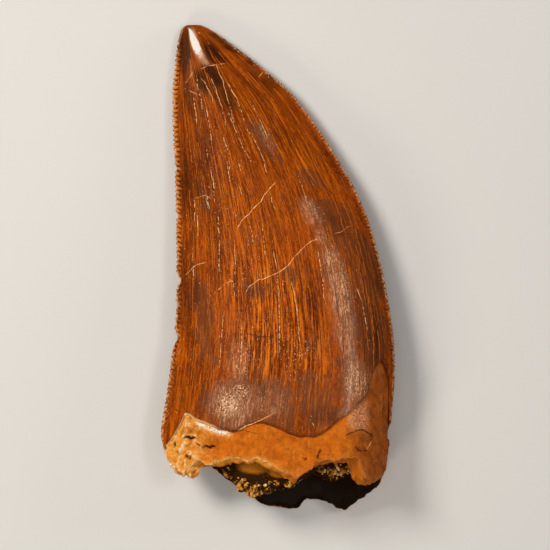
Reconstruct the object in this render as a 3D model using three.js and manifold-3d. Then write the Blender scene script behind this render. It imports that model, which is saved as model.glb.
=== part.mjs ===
// A fossil tooth of a large meat-eating dinosaur, lying on its side, its pulp cavity open at the broken base.
//
// Units are millimetres. X runs from the back (distal) edge to the front (mesial) edge, Y from the broken
// base to the tip, and Z up from the surface that the tooth lies on. The origin is under the middle of the
// tooth, on that surface. The tooth is one solid, and the crust of crystals in its pulp cavity is another.

import * as THREE from 'three';
import { mergeVertices } from 'three/addons/utils/BufferGeometryUtils.js';
import Module from 'manifold-3d';

// Driving dimensions
const BASE_THICKNESS = 12; // from face to face, where the root was broken off
const UPPER_SHARE = 0.53; // of the thickness, above the plane of the two edges
const THICKNESS_AT = 56; // distance below the tip where the tooth has its full thickness
const TAPER = 0.62; // power by which the thickness grows from the tip
const TIP_ROUNDING = 0.08; // distance that the blunt tip stands short of the point where the faces would meet
const DENTICLES = 90; // along each edge, from the tip to the end of the crown
const DENTICLE_HEIGHT = 0.26;
const CUT_REACH = 0.04; // share of the tooth's width that a notch or a chip is cut into the faces
const CROWN_SHARE = 0.93; // of each edge's length, the rest is root
const ENAMEL = 0.22; // thickness of the enamel, which ends in a ledge above the root
const WALL = 1.9; // the dentine around the pulp cavity
const CAVITY_DEPTH = 7.5;
const BREAK_SLOPE = 0.6; // how much further the inner edge of the broken root reaches on the upper wall
const BREAK_ROUGHNESS = 0.5;
const CRUST_GAP = 0.3; // between the crust and the cavity's wall
const FLAT_DEPTH = 0.35; // how much of the lower face the resting spot has lost
const TIP_LIFT = 1.1; // clearance that the lower face gains towards the tip
const BASE_LIFT = 0.5; // and towards the broken base

// How finely the surfaces are divided
const AROUND = 22;
const ROOT_ROWS = 5;
const BREAK_ROWS = 2;
const CAVITY_ROWS = 4;
const CROWN_ROWS = 2 * DENTICLES;
const OUTER_ROWS = CROWN_ROWS + ROOT_ROWS;
const ROWS = OUTER_ROWS + BREAK_ROWS + CAVITY_ROWS;

// The outline seen from above, as points [across, down]: across to the right of the tip, and down from it.
const DISTAL_EDGE = [
  [0, 0], [-0.85, 0.03], [-1.28, 0.35], [-1.65, 1.2], [-2.1, 3.2], [-2.55, 8], [-2.55, 12.5], [-2.25, 18],
  [-2.1, 24], [-2.05, 31], [-2.2, 37], [-2.65, 41.5], [-3.2, 46], [-3.9, 50.6], [-3.6, 52.8], [-3.2, 54.2],
].map(([across, down]) => new THREE.Vector2(across, down));
const MESIAL_EDGE = [
  [0, 0], [1.1, 0.05], [2.45, 0.7], [4.3, 2], [7.65, 4.5], [10.7, 7], [13.2, 9.5], [16.9, 14.7], [21.05, 22],
  [23.5, 29.6], [24.95, 37.5], [25.3, 42.5], [24.95, 48], [24.2, 55.4],
].map(([across, down]) => new THREE.Vector2(across, down));

// Pieces chipped off the distal edge, as [distance below the tip, half its length, depth].
const CHIPS = [[18, 0.5, 0.25], [24, 0.6, 0.2], [32, 1.1, 0.42], [35.2, 0.7, 0.2], [39.2, 1.4, 0.5]];

// The broken edge of the upper wall and of the longer lower wall, each from one edge of the root to the other.
const UPPER_BREAK = [
  [-3.2, 54.2], [-2.4, 55.3], [-1.5, 56.3], [-0.5, 55.2], [0.7, 54.4], [2.3, 54.8], [4.7, 54.1], [6.6, 54.3],
  [8.1, 54.1], [10.3, 55.1], [12.8, 56.4], [14.4, 55.4], [16.6, 54.2], [20.6, 54], [21.5, 56.4], [22.4, 57.2],
  [23.6, 56.6], [24.2, 55.4],
];
const LOWER_BREAK = [
  [-3.2, 54.2], [-1.5, 55.6], [0, 55], [2.2, 55.3], [3.8, 56.6], [5.6, 57.9], [7.2, 59.2], [9.3, 60.5],
  [13.1, 60.7], [14.3, 59.4], [17.2, 59.8], [19.1, 60.9], [21.6, 58.9], [23.4, 57.4], [24.2, 55.4],
];

// Where the enamel ends on the upper face, with a bare flame up the mesial side, and on the lower face.
const UPPER_ENAMEL_END = [
  [-3.6, 53], [-2.4, 51.8], [-0.9, 48.8], [0.9, 50], [4.6, 51], [5.8, 50.8], [8.1, 50], [11.2, 51.4],
  [14, 51.9], [16.8, 51], [19.7, 48.8], [21.8, 46.4], [22.2, 44.4], [23.4, 42], [24.1, 45], [24.4, 52],
];
const LOWER_ENAMEL_END = [[-3.6, 52.5], [0, 50.4], [6, 51.6], [12, 50.2], [18, 51.2], [24.4, 52]];

const distal = new THREE.SplineCurve(DISTAL_EDGE);
const mesial = new THREE.SplineCurve(MESIAL_EDGE);

const { clamp, lerp, smoothstep } = THREE.MathUtils;

// The value at x of a line through points [x, value] that rise in x.
function along(points, x) {
  const next = points.findIndex(([px]) => px >= x);
  if (next <= 0) return next === 0 ? points[0][1] : points.at(-1)[1];
  const [x0, y0] = points[next - 1];
  const [x1, y1] = points[next];
  return lerp(y0, y1, (x - x0) / (x1 - x0));
}

// The same sequence of values from 0 to 1 on every run.
function seeded(seed) {
  let state = seed;
  return () => {
    state = (state * 16807) % 2147483647;
    return state / 2147483647;
  };
}
const random = seeded(11);

// The section across the tooth at a distance below the tip

const taper = (down) => ((Math.max(down, 0) + TIP_ROUNDING) / THICKNESS_AT) ** TAPER;
const upperThickness = (down) => BASE_THICKNESS * UPPER_SHARE * taper(down);
const lowerThickness = (down) => BASE_THICKNESS * (1 - UPPER_SHARE) * taper(down);

// Height of the plane of the two edges, which leaves the lower face level along its middle.
function edgeHeight(down) {
  const tipLift = TIP_LIFT * clamp(1 - down / 20, 0, 1) ** 2;
  const baseLift = BASE_LIFT * clamp((down - 46) / 12, 0, 1) ** 2;
  return lowerThickness(down) - FLAT_DEPTH + tipLift + baseLift;
}

// Rises from 0 at either edge to 1 at the crest. u runs from the distal edge, 0, to the mesial edge, 1.
function swell(u, crest, fullness) {
  const toCrest = u < crest ? u / crest : (1 - u) / (1 - crest);
  return 1 - (1 - toCrest) ** fullness;
}

// The upper face's crest moves towards the mesial edge on the way down. The lower face's stays in the middle.
const upperCrest = (down) => lerp(0.4, 0.76, smoothstep(down, 0, 34));
const LOWER_CREST = 0.52;
const UPPER_FULLNESS = 2.3; // a higher fullness makes a face flatter along its middle
const LOWER_FULLNESS = 2.8;

// How far the root lies below the enamel, which thins out to nothing at the two edges.
function ledge(across, u, down, upper) {
  const end = along(upper ? UPPER_ENAMEL_END : LOWER_ENAMEL_END, across);
  const offEdge = smoothstep(Math.min(u, 1 - u), 0, 0.05);
  return ENAMEL * offEdge * smoothstep(down, end - 0.1, end + 0.3);
}

function heightAt(across, u, down, upper) {
  const drop = ledge(across, u, down, upper);
  const above = upperThickness(down) * swell(u, upperCrest(down), UPPER_FULLNESS) - drop;
  const below = lowerThickness(down) * swell(u, LOWER_CREST, LOWER_FULLNESS) - drop;
  return upper ? edgeHeight(down) + above : Math.max(0, edgeHeight(down) - below);
}

// How tall the denticles are at a share of an edge's length: worn off at the tip, and none on the root.
const denticleHeight = (share) =>
  DENTICLE_HEIGHT * smoothstep(share, 0.04, 0.14) * (1 - smoothstep(share, CROWN_SHARE - 0.03, CROWN_SHARE));

const cutBy = ([at, reach, depth], down) => depth * (1 - smoothstep(Math.abs(down - at), 0, reach));
const chipDepth = (down) => CHIPS.reduce((depth, chip) => depth + cutBy(chip, down), 0);

// A point of an edge in plan, and how far a notch or a chip cuts it inwards. Every second row is a notch.
function edgePoint(curve, share, notch, chipped, inward) {
  const point = curve.getPointAt(share);
  const depth = (notch ? denticleHeight(share) : 0) + (chipped ? chipDepth(point.y) : 0);
  const tangent = curve.getTangentAt(share);
  return { point, cut: new THREE.Vector2(tangent.y, -tangent.x).multiplyScalar(inward * depth) };
}

// The outer surface. turn runs round the tooth from the distal edge, over the upper face and back below.

const acrossAt = (turn) => (1 - Math.cos(turn)) / 2;

function rowShare(row) {
  if (row <= CROWN_ROWS) return (CROWN_SHARE * row) / CROWN_ROWS;
  return lerp(CROWN_SHARE, 1, (row - CROWN_ROWS) / ROOT_ROWS);
}

const rowEnds = [];
for (let row = 0; row <= OUTER_ROWS; row++) {
  const share = rowShare(row);
  const notch = row % 2 === 1 && row < CROWN_ROWS;
  rowEnds.push([edgePoint(distal, share, notch, true, 1), edgePoint(mesial, share, notch, false, -1)]);
}
const [breakLeft, breakRight] = rowEnds[OUTER_ROWS].map((end) => end.point);

function outerPoint(row, turn) {
  const [left, right] = rowEnds[row];
  const upper = Math.sin(turn) >= 0;
  const u = row === 0 ? 0 : acrossAt(turn);
  const point = left.point.clone().lerp(right.point, u);
  point.addScaledVector(left.cut, 1 - smoothstep(u, 0, CUT_REACH));
  point.addScaledVector(right.cut, 1 - smoothstep(1 - u, 0, CUT_REACH));
  const end = breakLeft.clone().lerp(breakRight, u);
  const toBreak = smoothstep(rowShare(row), 0.8, 1);
  point.y += toBreak * (along(upper ? UPPER_BREAK : LOWER_BREAK, end.x) - end.y);
  return new THREE.Vector3(point.x, point.y, heightAt(point.x, u, point.y, upper));
}

// The pulp cavity. depth runs from 0 at the broken edge to 1 at the roof. inset is the distance off the wall.

const HALF_WIDTH = (breakRight.x - breakLeft.x) / 2;
const CAVITY_ROOF = new THREE.Vector3(breakLeft.x + HALF_WIDTH, 0, BASE_THICKNESS / 2);
CAVITY_ROOF.y = along(UPPER_BREAK, CAVITY_ROOF.x) - CAVITY_DEPTH;

function cavityPoint(turn, depth, inset) {
  const rim = outerPoint(OUTER_ROWS, turn);
  const closing = Math.sqrt(Math.max(0, 1 - depth ** 2.4));
  const wide = closing * (1 - (WALL + inset) / HALF_WIDTH);
  const thick = closing * (1 - (WALL + inset) / CAVITY_ROOF.z);
  return new THREE.Vector3(
    lerp(CAVITY_ROOF.x, rim.x, wide),
    lerp(rim.y + BREAK_SLOPE * Math.sin(turn), CAVITY_ROOF.y + inset, depth),
    lerp(CAVITY_ROOF.z, rim.z, thick),
  );
}

const breakRoughness = Array.from({ length: AROUND }, () => (random() - 0.5) * BREAK_ROUGHNESS);

function toothPoint(row, turn) {
  if (row <= OUTER_ROWS) return outerPoint(row, turn);
  const inwards = (row - OUTER_ROWS) / BREAK_ROWS;
  if (inwards >= 1) return cavityPoint(turn, (row - OUTER_ROWS - BREAK_ROWS) / CAVITY_ROWS, 0);
  const point = outerPoint(OUTER_ROWS, turn).lerp(cavityPoint(turn, 0, 0), inwards);
  point.y += breakRoughness[Math.round((turn / (2 * Math.PI)) * AROUND)];
  return point;
}

function onlyPositions(geometry) {
  geometry.deleteAttribute('normal');
  geometry.deleteAttribute('uv');
  return mergeVertices(geometry, 1e-4);
}

// Moves each point of a unit sphere to where place(row, turn) puts it, and turns down into minus Y.
function shapedSphere(rows, place) {
  const sphere = new THREE.SphereGeometry(1, AROUND, rows);
  const position = sphere.getAttribute('position');
  for (let i = 0; i < position.count; i++) {
    const column = i % (AROUND + 1);
    const turn = (2 * Math.PI * (column % AROUND)) / AROUND;
    const point = place(Math.floor(i / (AROUND + 1)), turn);
    position.setXYZ(i, point.x, -point.y, point.z);
  }
  return onlyPositions(sphere);
}

// The crust of crystals in the cavity

const CRUST_BACK_ROWS = CAVITY_ROWS - 1; // from the roof to the crust's margin on the wall
const CRUST_MARGIN = 1 - CRUST_BACK_ROWS / CAVITY_ROWS; // the margin's depth
const CRUST_FRONT_ROWS = 4; // from the margin to the middle of its front
const CRYSTALS = 32;
const CRYSTAL_RADIUS = [0.6, 1.1];
const CRYSTAL_MARGIN = 0.4; // share of the way from the crust's margin to the middle of its front with none

// How far below the tip the crust's front stands, by the distance across.
const CRUST_FRONT = [
  [-2, 53.5], [2, 54.5], [4.5, 56.4], [6.5, 57.8], [9, 58.2], [11.5, 57.8], [13.5, 56.8], [15.5, 55.4],
  [18, 55.8], [20.5, 55.8], [22.5, 55], [24.2, 54],
];

function crustFront(turn, toMiddle) {
  const point = cavityPoint(turn, CRUST_MARGIN, CRUST_GAP);
  point.x = lerp(point.x, CAVITY_ROOF.x, toMiddle);
  point.y = lerp(point.y, along(CRUST_FRONT, point.x), smoothstep(toMiddle, 0, 0.5));
  point.z = lerp(point.z, CAVITY_ROOF.z, toMiddle);
  return point;
}

function crustPoint(row, turn) {
  if (row <= CRUST_BACK_ROWS) return cavityPoint(turn, 1 - row / CAVITY_ROWS, CRUST_GAP);
  return crustFront(turn, (row - CRUST_BACK_ROWS) / CRUST_FRONT_ROWS);
}

const wasm = await Module();
wasm.setup();

function toSolid(geometry) {
  return new wasm.Manifold(new wasm.Mesh({
    numProp: 3,
    vertProperties: new Float32Array(geometry.getAttribute('position').array),
    triVerts: new Uint32Array(geometry.index.array),
  }));
}

function toGeometry(solid) {
  const mesh = solid.getMesh();
  return new THREE.BufferGeometry()
    .setAttribute('position', new THREE.BufferAttribute(new Float32Array(mesh.vertProperties), 3))
    .setIndex(new THREE.BufferAttribute(new Uint32Array(mesh.triVerts), 1));
}

// One crystal, a block with eight flat faces, turned at random about a point of the crust's front.
function makeCrystal() {
  const shape = new THREE.OctahedronGeometry(lerp(...CRYSTAL_RADIUS, random()));
  const turned = new THREE.Euler(random() * Math.PI, random() * Math.PI, random() * Math.PI);
  shape.applyMatrix4(new THREE.Matrix4().makeRotationFromEuler(turned));
  const at = crustFront(random() * 2 * Math.PI, lerp(1, CRYSTAL_MARGIN, Math.sqrt(random())));
  shape.translate(at.x, -at.y, at.z);
  return onlyPositions(shape);
}

function makeCrust() {
  let crust = toSolid(shapedSphere(CRUST_BACK_ROWS + CRUST_FRONT_ROWS, crustPoint));
  for (let i = 0; i < CRYSTALS; i++) crust = crust.add(toSolid(makeCrystal()));
  // The pockets sealed between crystals come out as bodies of their own, which are left out.
  const bodies = crust.decompose().sort((a, b) => b.volume() - a.volume());
  return toGeometry(bodies[0]);
}

// The two pieces, with the origin under the middle of the tooth

const enamel = new THREE.MeshStandardMaterial({ color: 0x8c4812, roughness: 0.3, metalness: 0 });
const crystals = new THREE.MeshStandardMaterial({ color: 0xb98432, roughness: 0.4, metalness: 0 });

const tooth = new THREE.Mesh(shapedSphere(ROWS, toothPoint), enamel);
tooth.name = 'tooth';

const cavityCrust = new THREE.Mesh(makeCrust(), crystals);
cavityCrust.name = 'cavity_crust';

const middle = new THREE.Box3().setFromObject(tooth).getCenter(new THREE.Vector3());
const fossil = new THREE.Group();
fossil.add(tooth, cavityCrust);
fossil.position.set(-middle.x, -middle.y, 0);

export default fossil;
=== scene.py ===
# A fossil tooth of a large meat-eating dinosaur, lying on its side on a pale floor and seen from above.
# All places are in millimetres: across is to the right of the tip, down is below the tip.

import math
import random
from types import SimpleNamespace

import bmesh
import bpy
import numpy as np
from bpy.props import FloatProperty, FloatVectorProperty, PointerProperty
from mathutils import Euler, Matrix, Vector, noise
from mathutils.bvhtree import BVHTree


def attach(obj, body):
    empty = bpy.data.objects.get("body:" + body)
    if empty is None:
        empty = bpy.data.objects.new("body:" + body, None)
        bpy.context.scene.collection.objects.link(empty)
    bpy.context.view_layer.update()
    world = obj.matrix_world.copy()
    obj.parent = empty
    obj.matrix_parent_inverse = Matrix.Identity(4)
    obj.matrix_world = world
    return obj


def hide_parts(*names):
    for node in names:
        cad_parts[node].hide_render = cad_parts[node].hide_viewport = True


bl_info = {
    "name": "Fossil Tooth",
    "version": (1, 0, 0),
    "blender": (4, 5, 0),
    "location": "3D View > Sidebar > Tooth",
    "description": "Builds a serrated fossil tooth with its broken root, crystals and studio",
    "category": "Object",
}

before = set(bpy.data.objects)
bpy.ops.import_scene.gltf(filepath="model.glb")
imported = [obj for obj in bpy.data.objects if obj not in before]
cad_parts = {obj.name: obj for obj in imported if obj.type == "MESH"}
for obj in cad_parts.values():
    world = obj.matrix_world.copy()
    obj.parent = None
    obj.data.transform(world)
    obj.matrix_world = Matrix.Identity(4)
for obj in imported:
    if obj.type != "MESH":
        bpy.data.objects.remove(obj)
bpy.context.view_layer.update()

MM = 0.001
ACROSS_MIDDLE = 10.696  # the point of the outline that stands over the row frame's origin
DOWN_MIDDLE = 30.326

# The form, with the values of the solids where no line says otherwise

BASE_THICKNESS = 12
UPPER_SHARE = 0.53
THICKNESS_AT = 56
TAPER = 0.62
TIP_ROUNDING = 0.08
CROWN_SHARE = 0.93
WALL = 1.9
CAVITY_DEPTH = 7.5
BREAK_SLOPE = 0.6
CRUST_GAP = 0.3
FLAT_DEPTH = 0.35
TIP_LIFT = 1.1
BASE_LIFT = 0.5
LOWER_CREST = 0.52
UPPER_CREST_TIP = 0.4  # share of the width at which the crest of the upper face lies at the tip
UPPER_CREST_BASE = 0.76  # and from CREST_SETTLED down
CREST_SETTLED = 34
UPPER_FULLNESS = 2.3
LOWER_FULLNESS = 2.8
TIP_LIFT_END = 20
BASE_LIFT_START = 46
BASE_LIFT_REACH = 12

DISTAL_EDGE = [
    (0, 0), (-0.85, 0.03), (-1.28, 0.35), (-1.65, 1.2), (-2.1, 3.2), (-2.55, 8), (-2.55, 12.5), (-2.25, 18),
    (-2.1, 24), (-2.05, 31), (-2.2, 37), (-2.65, 41.5), (-3.2, 46), (-3.9, 50.6), (-3.6, 52.8), (-3.2, 54.2),
]
MESIAL_EDGE = [
    (0, 0), (1.1, 0.05), (2.45, 0.7), (4.3, 2), (7.65, 4.5), (10.7, 7), (13.2, 9.5), (16.9, 14.7),
    (21.05, 22), (23.5, 29.6), (24.95, 37.5), (25.3, 42.5), (24.95, 48), (24.2, 55.4),
]
# Chips of the distal edge, as (down, half length, depth).
CHIPS = [(18, 0.5, 0.25), (24, 0.6, 0.2), (32, 1.1, 0.42), (35.2, 0.7, 0.2), (39.2, 1.4, 0.5)]
# The upper break has a rounder knob on the left than the solid.
UPPER_BREAK = [
    (-3.2, 54.2), (-2.6, 55.0), (-2.2, 55.9), (-1.7, 56.3), (-1.1, 56.25), (-0.6, 55.6), (-0.2, 55.0),
    (0.7, 54.4), (2.3, 54.8), (4.7, 54.1), (6.6, 54.3), (8.1, 54.1), (10.3, 55.1), (12.8, 56.4), (14.4, 55.4),
    (16.6, 54.2), (20.6, 54), (21.5, 56.4), (22.4, 57.2), (23.6, 56.6), (24.2, 55.4),
]
LOWER_BREAK = [
    (-3.2, 54.2), (-1.5, 55.6), (0, 55), (2.2, 55.3), (3.8, 56.6), (5.6, 57.9), (7.2, 59.2), (9.3, 60.5),
    (13.1, 60.7), (14.3, 59.4), (17.2, 59.8), (19.1, 60.9), (21.6, 58.9), (23.4, 57.4), (24.2, 55.4),
]
# The upper enamel ends up to half a millimetre higher than on the solid and leaves a fuller tongue of root.
UPPER_ENAMEL_END = [
    (-3.6, 53), (-2.4, 51.8), (-0.9, 48.7), (0.2, 49.1), (0.95, 49.6), (2.4, 50.1), (4.5, 50.7), (5.6, 50.7),
    (7.2, 49.8), (8.6, 49.5), (10.4, 50.2), (12.2, 51.1), (14, 51.4), (15.6, 51.2), (17, 50.4), (18.1, 49.3),
    (19.9, 48.0), (21.1, 46.9), (21.75, 46.5), (21.95, 45), (22.3, 43.8),
    (22.8, 42.7), (23.4, 42), (24, 42.7), (24.35, 44.2), (24.6, 46.5), (24.9, 52),
]
LOWER_ENAMEL_END = [(-3.6, 52.5), (0, 50.4), (6, 51.6), (12, 50.2), (18, 51.2), (24.4, 52)]
CRUST_FRONT = [
    (-2, 53.5), (2, 54.5), (4.5, 56.4), (6.5, 57.8), (9, 58.2), (11.5, 57.8), (13.5, 56.8), (15.5, 55.4),
    (18, 55.8), (20.5, 55.8), (22.5, 55), (24.2, 54),
]
CRUST_MARGIN = 0.25  # depth in the cavity where the crust meets the wall

# Where the enamel's tone changes, and where painted sheen, highlights and glints lie, as (across, down, half
# width, half length, lean, strength).
# The lean is how far a patch moves across for each millimetre down.
# Satin patches along the crest and on the lower bulges: duller, more pitted enamel with a painted sheen.
SATIN_SHEEN_PATCHES = [
    (14.7, 23.4, 1.4, 2.4, 0.3, 0.75), (16.2, 26.8, 1.0, 1.8, 0.4, 0.5), (17.4, 29.5, 1.4, 2.8, 0.25, 0.8),
    (18.2, 33.5, 1.6, 5.0, 0.15, 1.0), (18.9, 38.5, 1.4, 4.6, 0.15, 0.7), (9.0, 14.0, 0.9, 2.6, 0.6, 0.3),
    (20.4, 44.4, 1.8, 3.4, 0.12, 1.0), (19.8, 48.3, 1.6, 1.8, -0.5, 0.9), (5.0, 47.6, 3.6, 3.4, 0, 0.9),
    (9.8, 46.8, 3.4, 3.0, 0, 0.25), (5.8, 42.4, 1.6, 3.4, 0, 0.45),
]
PATINA_PATCHES = [
    (21.3, 30, 2.6, 6.5, 0.35, 0.9), (22.4, 38, 2.4, 7.0, 0.1, 1.0), (16.8, 24.0, 2.6, 2.4, 0.4, 0.9),
    (19.2, 27.2, 2.4, 2.4, 0.3, 0.8), (0.4, 34.2, 1.3, 2.6, -0.2, 0.8), (1.3, 39, 1.0, 3.4, 0, 0.7),
    (7.8, 33.3, 1.8, 1.3, 0.4, 0.6), (9.8, 46.6, 4.2, 3.0, 0, 0.9), (4.6, 47.4, 4.0, 3.8, 0, 0.8),
    (17, 48.8, 3.4, 1.8, 0, 0.8), (12.3, 31.4, 1.4, 1.6, 0, 0.6), (1.5, 22.4, 1.2, 2.4, 0, 0.5),
    (19.0, 34, 2.6, 9.0, 0.2, 0.6), (20.2, 44, 2.4, 5.0, 0.1, 0.8), (7.5, 47.6, 8.0, 4.4, 0, 1.0),
    (14.5, 47, 4.0, 4.4, 0, 0.6), (17.6, 24.2, 2.6, 2.8, 0.4, 1.2), (14.8, 19.4, 2.1, 1.7, 0.3, 1.1),
    (1.6, 36, 1.3, 3.4, 0, 1.0), (9.2, 14.6, 1.4, 3.4, 0.6, 0.8),
]
# Where painted glints, and painted shade in the pits between them, are strewn.
GLINT_PATCHES = [
    (4.6, 47.4, 2.4, 2.4, 0, 1.4), (6.0, 46.0, 1.4, 1.8, 0, 1.2), (5.9, 42.2, 1.6, 3.6, 0, 0.8),
    (18.4, 32, 2.0, 7.0, 0.25, 0.7),
    (20.2, 45, 1.8, 4.0, 0, 0.8), (15.0, 23.6, 2.0, 2.6, 0.4, 0.6), (9.5, 47.5, 3.0, 2.6, 0, 0.5),
    (3, 20, 4, 10, 0.1, 0.3), (8, 30, 5, 8, 0.1, 0.3), (7, 40, 5, 4, 0, 0.45), (12.5, 41, 3.5, 5, 0, 0.5),
    (9.0, 14.0, 1.4, 3.4, 0.6, 0.55), (-2.3, 37, 1.0, 9, 0, 0.8),
]
DARK_PATCHES = [
    (-1.1, 3.4, 1.3, 4.6, -0.05, 1.3), (2.4, 3.6, 1.5, 2.0, 0.4, 1.5), (4.4, 2.2, 1.9, 1.1, 1.2, 1.2),
    (2.9, 1.4, 1.0, 0.7, 1.0, 1.2), (5.6, 3.3, 1.1, 0.7, 1.3, 1.2), (7.4, 4.8, 1.0, 0.5, 1.3, 1.0),
    (2.5, 6.5, 1.7, 2.4, 0.5, 1.5), (4.3, 9.3, 1.0, 2.4, 0.45, 1.2), (3.1, 8.9, 0.9, 2.6, 0.45, 1.1),
    (1.2, 7.2, 1.4, 2.4, 0.3, 1.4), (0.9, 9.6, 0.8, 2.8, 0.2, 0.9), (12.5, 14.5, 1.6, 1.8, 0.7, 0.4),
    (3.0, 3.9, 1.1, 1.4, 0.9, 1.5), (5.0, 2.9, 1.6, 0.8, 1.4, 1.5), (9.6, 7.6, 1.2, 1.1, 1.0, 0.9),
    (7.6, 6.4, 1.0, 1.2, 1.0, 0.6),
    (3.6, 7.8, 1.9, 3.2, 0.5, 0.3), (-0.6, 9, 1.4, 4, 0.1, 0.7), (4.6, 2.3, 0.5, 0.6, 1.4, 1.5),
    (6.1, 3.4, 0.5, 0.5, 1.4, 1.4), (7.3, 4.4, 0.4, 0.4, 1.3, 1.3), (9.9, 6.6, 0.6, 0.7, 1.2, 1.0),
    (-1.2, 9.5, 1.0, 4.0, 0, 0.5), (0.3, 7, 0.8, 2.0, 0.2, 0.5), (8.5, 8.5, 1.2, 3.0, 1.0, 0.35),
    (22.2, 30, 1.5, 6.0, 0.25, 0.5), (22.8, 39, 1.3, 5.5, 0.05, 0.7), (22.7, 50, 0.9, 4.0, 0, 0.4),
    (-0.9, 19, 1.6, 9.0, 0.0, 0.7), (-0.6, 33, 2.0, 9.0, 0.0, 0.8), (9.2, 45.0, 1.6, 2.2, 0, 0.4),
    (6.2, 50.0, 2.4, 1.2, 0.2, 0.4), (1.6, 45.5, 1.2, 3.0, 0, 0.3), (18.2, 24.6, 1.6, 1.6, 0.4, 0.4),
    (7.8, 33.3, 1.8, 1.3, 0.4, 0.35), (16.5, 48.8, 2.8, 1.4, 0, 0.5), (1.5, 48.4, 1.6, 1.2, 0.2, 0.3),
    (1.2, 18.0, 3.2, 7.0, 0.1, 0.6), (-0.4, 44.5, 2.2, 5.0, -0.1, 0.45), (-0.4, 38, 2.0, 4.5, 0, 0.4),
    (15.8, 37.5, 1.8, 6.0, 0.1, 0.35),
]
# Painted highlights: pale patches at the tip and on the bulge near the root.
PALE_HIGHLIGHT_PATCHES = [
    (0.1, 1.9, 0.55, 1.7, 0.12, 1.0), (0.9, 3.7, 0.75, 1.5, 0.4, 0.7), (1.5, 4.6, 0.6, 0.7, 0.6, 0.5),
    (5.3, 47.6, 1.5, 1.5, 0, 0.25), (10.3, 48.2, 0.5, 0.7, 0, 0.3),
]

# Where the fibres of the enamel show most strongly.
FIBROUS_PATCHES = [
    (8.5, 36, 5.5, 13, 0.1, 0.9), (13.5, 38, 3.6, 10, 0.15, 1.0), (11, 14.5, 3.6, 9, 0.85, 0.8),
    (1, 41, 2.6, 8, 0, 0.55), (6, 22, 4, 7, 0.3, 0.45),
]
# Low swellings of the crown's upper face, as (across, down, radius, rise).
BULGES = [(4.6, 48, 2.1, 0.22), (10.5, 46, 3.0, 0.1), (15.5, 24, 3.0, 0.08)]

# The worn facet at the tip, as the corners of its outline. The facet is painted white as a highlight.
TIP_FACET = [
    (-0.55, 0.35), (-0.35, 1.7), (0.05, 3.3), (0.45, 4.6), (1.1, 5.0), (1.75, 4.9), (1.4, 3.7), (0.8, 2.3),
    (-0.2, 0.6),
]

# Fine veins of cream mineral down the crown, as lines of (across, down).
VEINS = [
    [(4.7, 10.3), (5.0, 11.6), (5.3, 12.8)],
    [(3.7, 10.6), (4.0, 11.8), (4.2, 13.0)],
    [(0.5, 6.4), (0.65, 8.0), (1.05, 9.3), (1.2, 11)],
    [(0.1, 9), (0.4, 11), (0.5, 12.5)],
    [(4.4, 11), (5.1, 12.5), (5.7, 14.1), (6.3, 15.5), (7.6, 17.6)],
    [(6.6, 12.8), (7.7, 14.5), (8.7, 16.4), (9.4, 19.3)],
    [(3.7, 13.8), (4.7, 16.6)],
    [(1.8, 15.5), (1.9, 16.8)],
    [(2.3, 18.3), (2.7, 20.8), (2.8, 22.6)],
    [(4.3, 17), (4.7, 19.8)],
    [(5.6, 17), (6.1, 18.5)],
    [(5.8, 20.3), (6.2, 21.4)],
    [(4.2, 22.6), (4.3, 23.3)],
    [(1.8, 21.5), (2.1, 23.3)],
    [(0.2, 22), (0.3, 23), (0.2, 24.8)],
    [(0.6, 23), (0.7, 26.8)],
    [(7.1, 24.8), (7.6, 27), (7.8, 28.1)],
    [(9.6, 21), (10.3, 23.3)],
    [(10.1, 28.4), (10.6, 30.8), (10.8, 34.5), (10.9, 41.1)],
    [(12.3, 32.1), (12.7, 33.9), (13.1, 36.4), (13.2, 38), (13.4, 40.1)],
    [(20.4, 33), (21.1, 34.6), (21.4, 36.4), (21.8, 38.3)],
    [(1.6, 10), (2.2, 13), (2.4, 15)],
    [(7.2, 9.5), (8.4, 12), (9.3, 14)],
    [(5.6, 9.6), (6.6, 12.4)],
    [(3.2, 24), (3.4, 28), (3.3, 31)],
    [(5.2, 27), (5.4, 30), (5.3, 34)],
    [(8.7, 25), (9.1, 29)],
    [(3.9, 36), (3.6, 40), (3.4, 43)],
    [(6.2, 37), (6.1, 41), (5.9, 44)],
    [(15.6, 28), (16.2, 32), (16.5, 35)],
    [(13.2, 19), (14.2, 22)],
    [(0.0, 28), (0.2, 32)],
]
BRIGHT_VEINS = [
    [(2.85, 5.0), (3.3, 6.0), (3.74, 7.0), (4.0, 8.0), (4.23, 8.7), (4.4, 9.5), (4.72, 10.3)],
    [(2.3, 6.7), (2.7, 7.6), (3.1, 8.7), (3.4, 9.6), (3.74, 10.6)],
    [(1.0, 6.7), (1.6, 7.4), (1.9, 8.0), (2.4, 9.0), (2.6, 10.0)],
    [(4.3, 7.3), (4.9, 8.2), (5.3, 9.0), (5.7, 9.5)],
    [(4.5, 16.9), (4.7, 18.4)],
    [(4.2, 22.5), (4.3, 23.2)],
    [(2.6, 19.3), (2.7, 20.6)],
    [(1.7, 21.7), (1.9, 22.8)],
    [(0.6, 24), (0.7, 26.0)],
    [(10.1, 28.4), (10.4, 29.9)],
    [(12.4, 32.3), (12.7, 33.9), (13.1, 36.2), (13.2, 37.2)],
    [(0.2, 22), (0.3, 23)],
    [(20.4, 33), (20.9, 34.2)],
]
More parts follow.
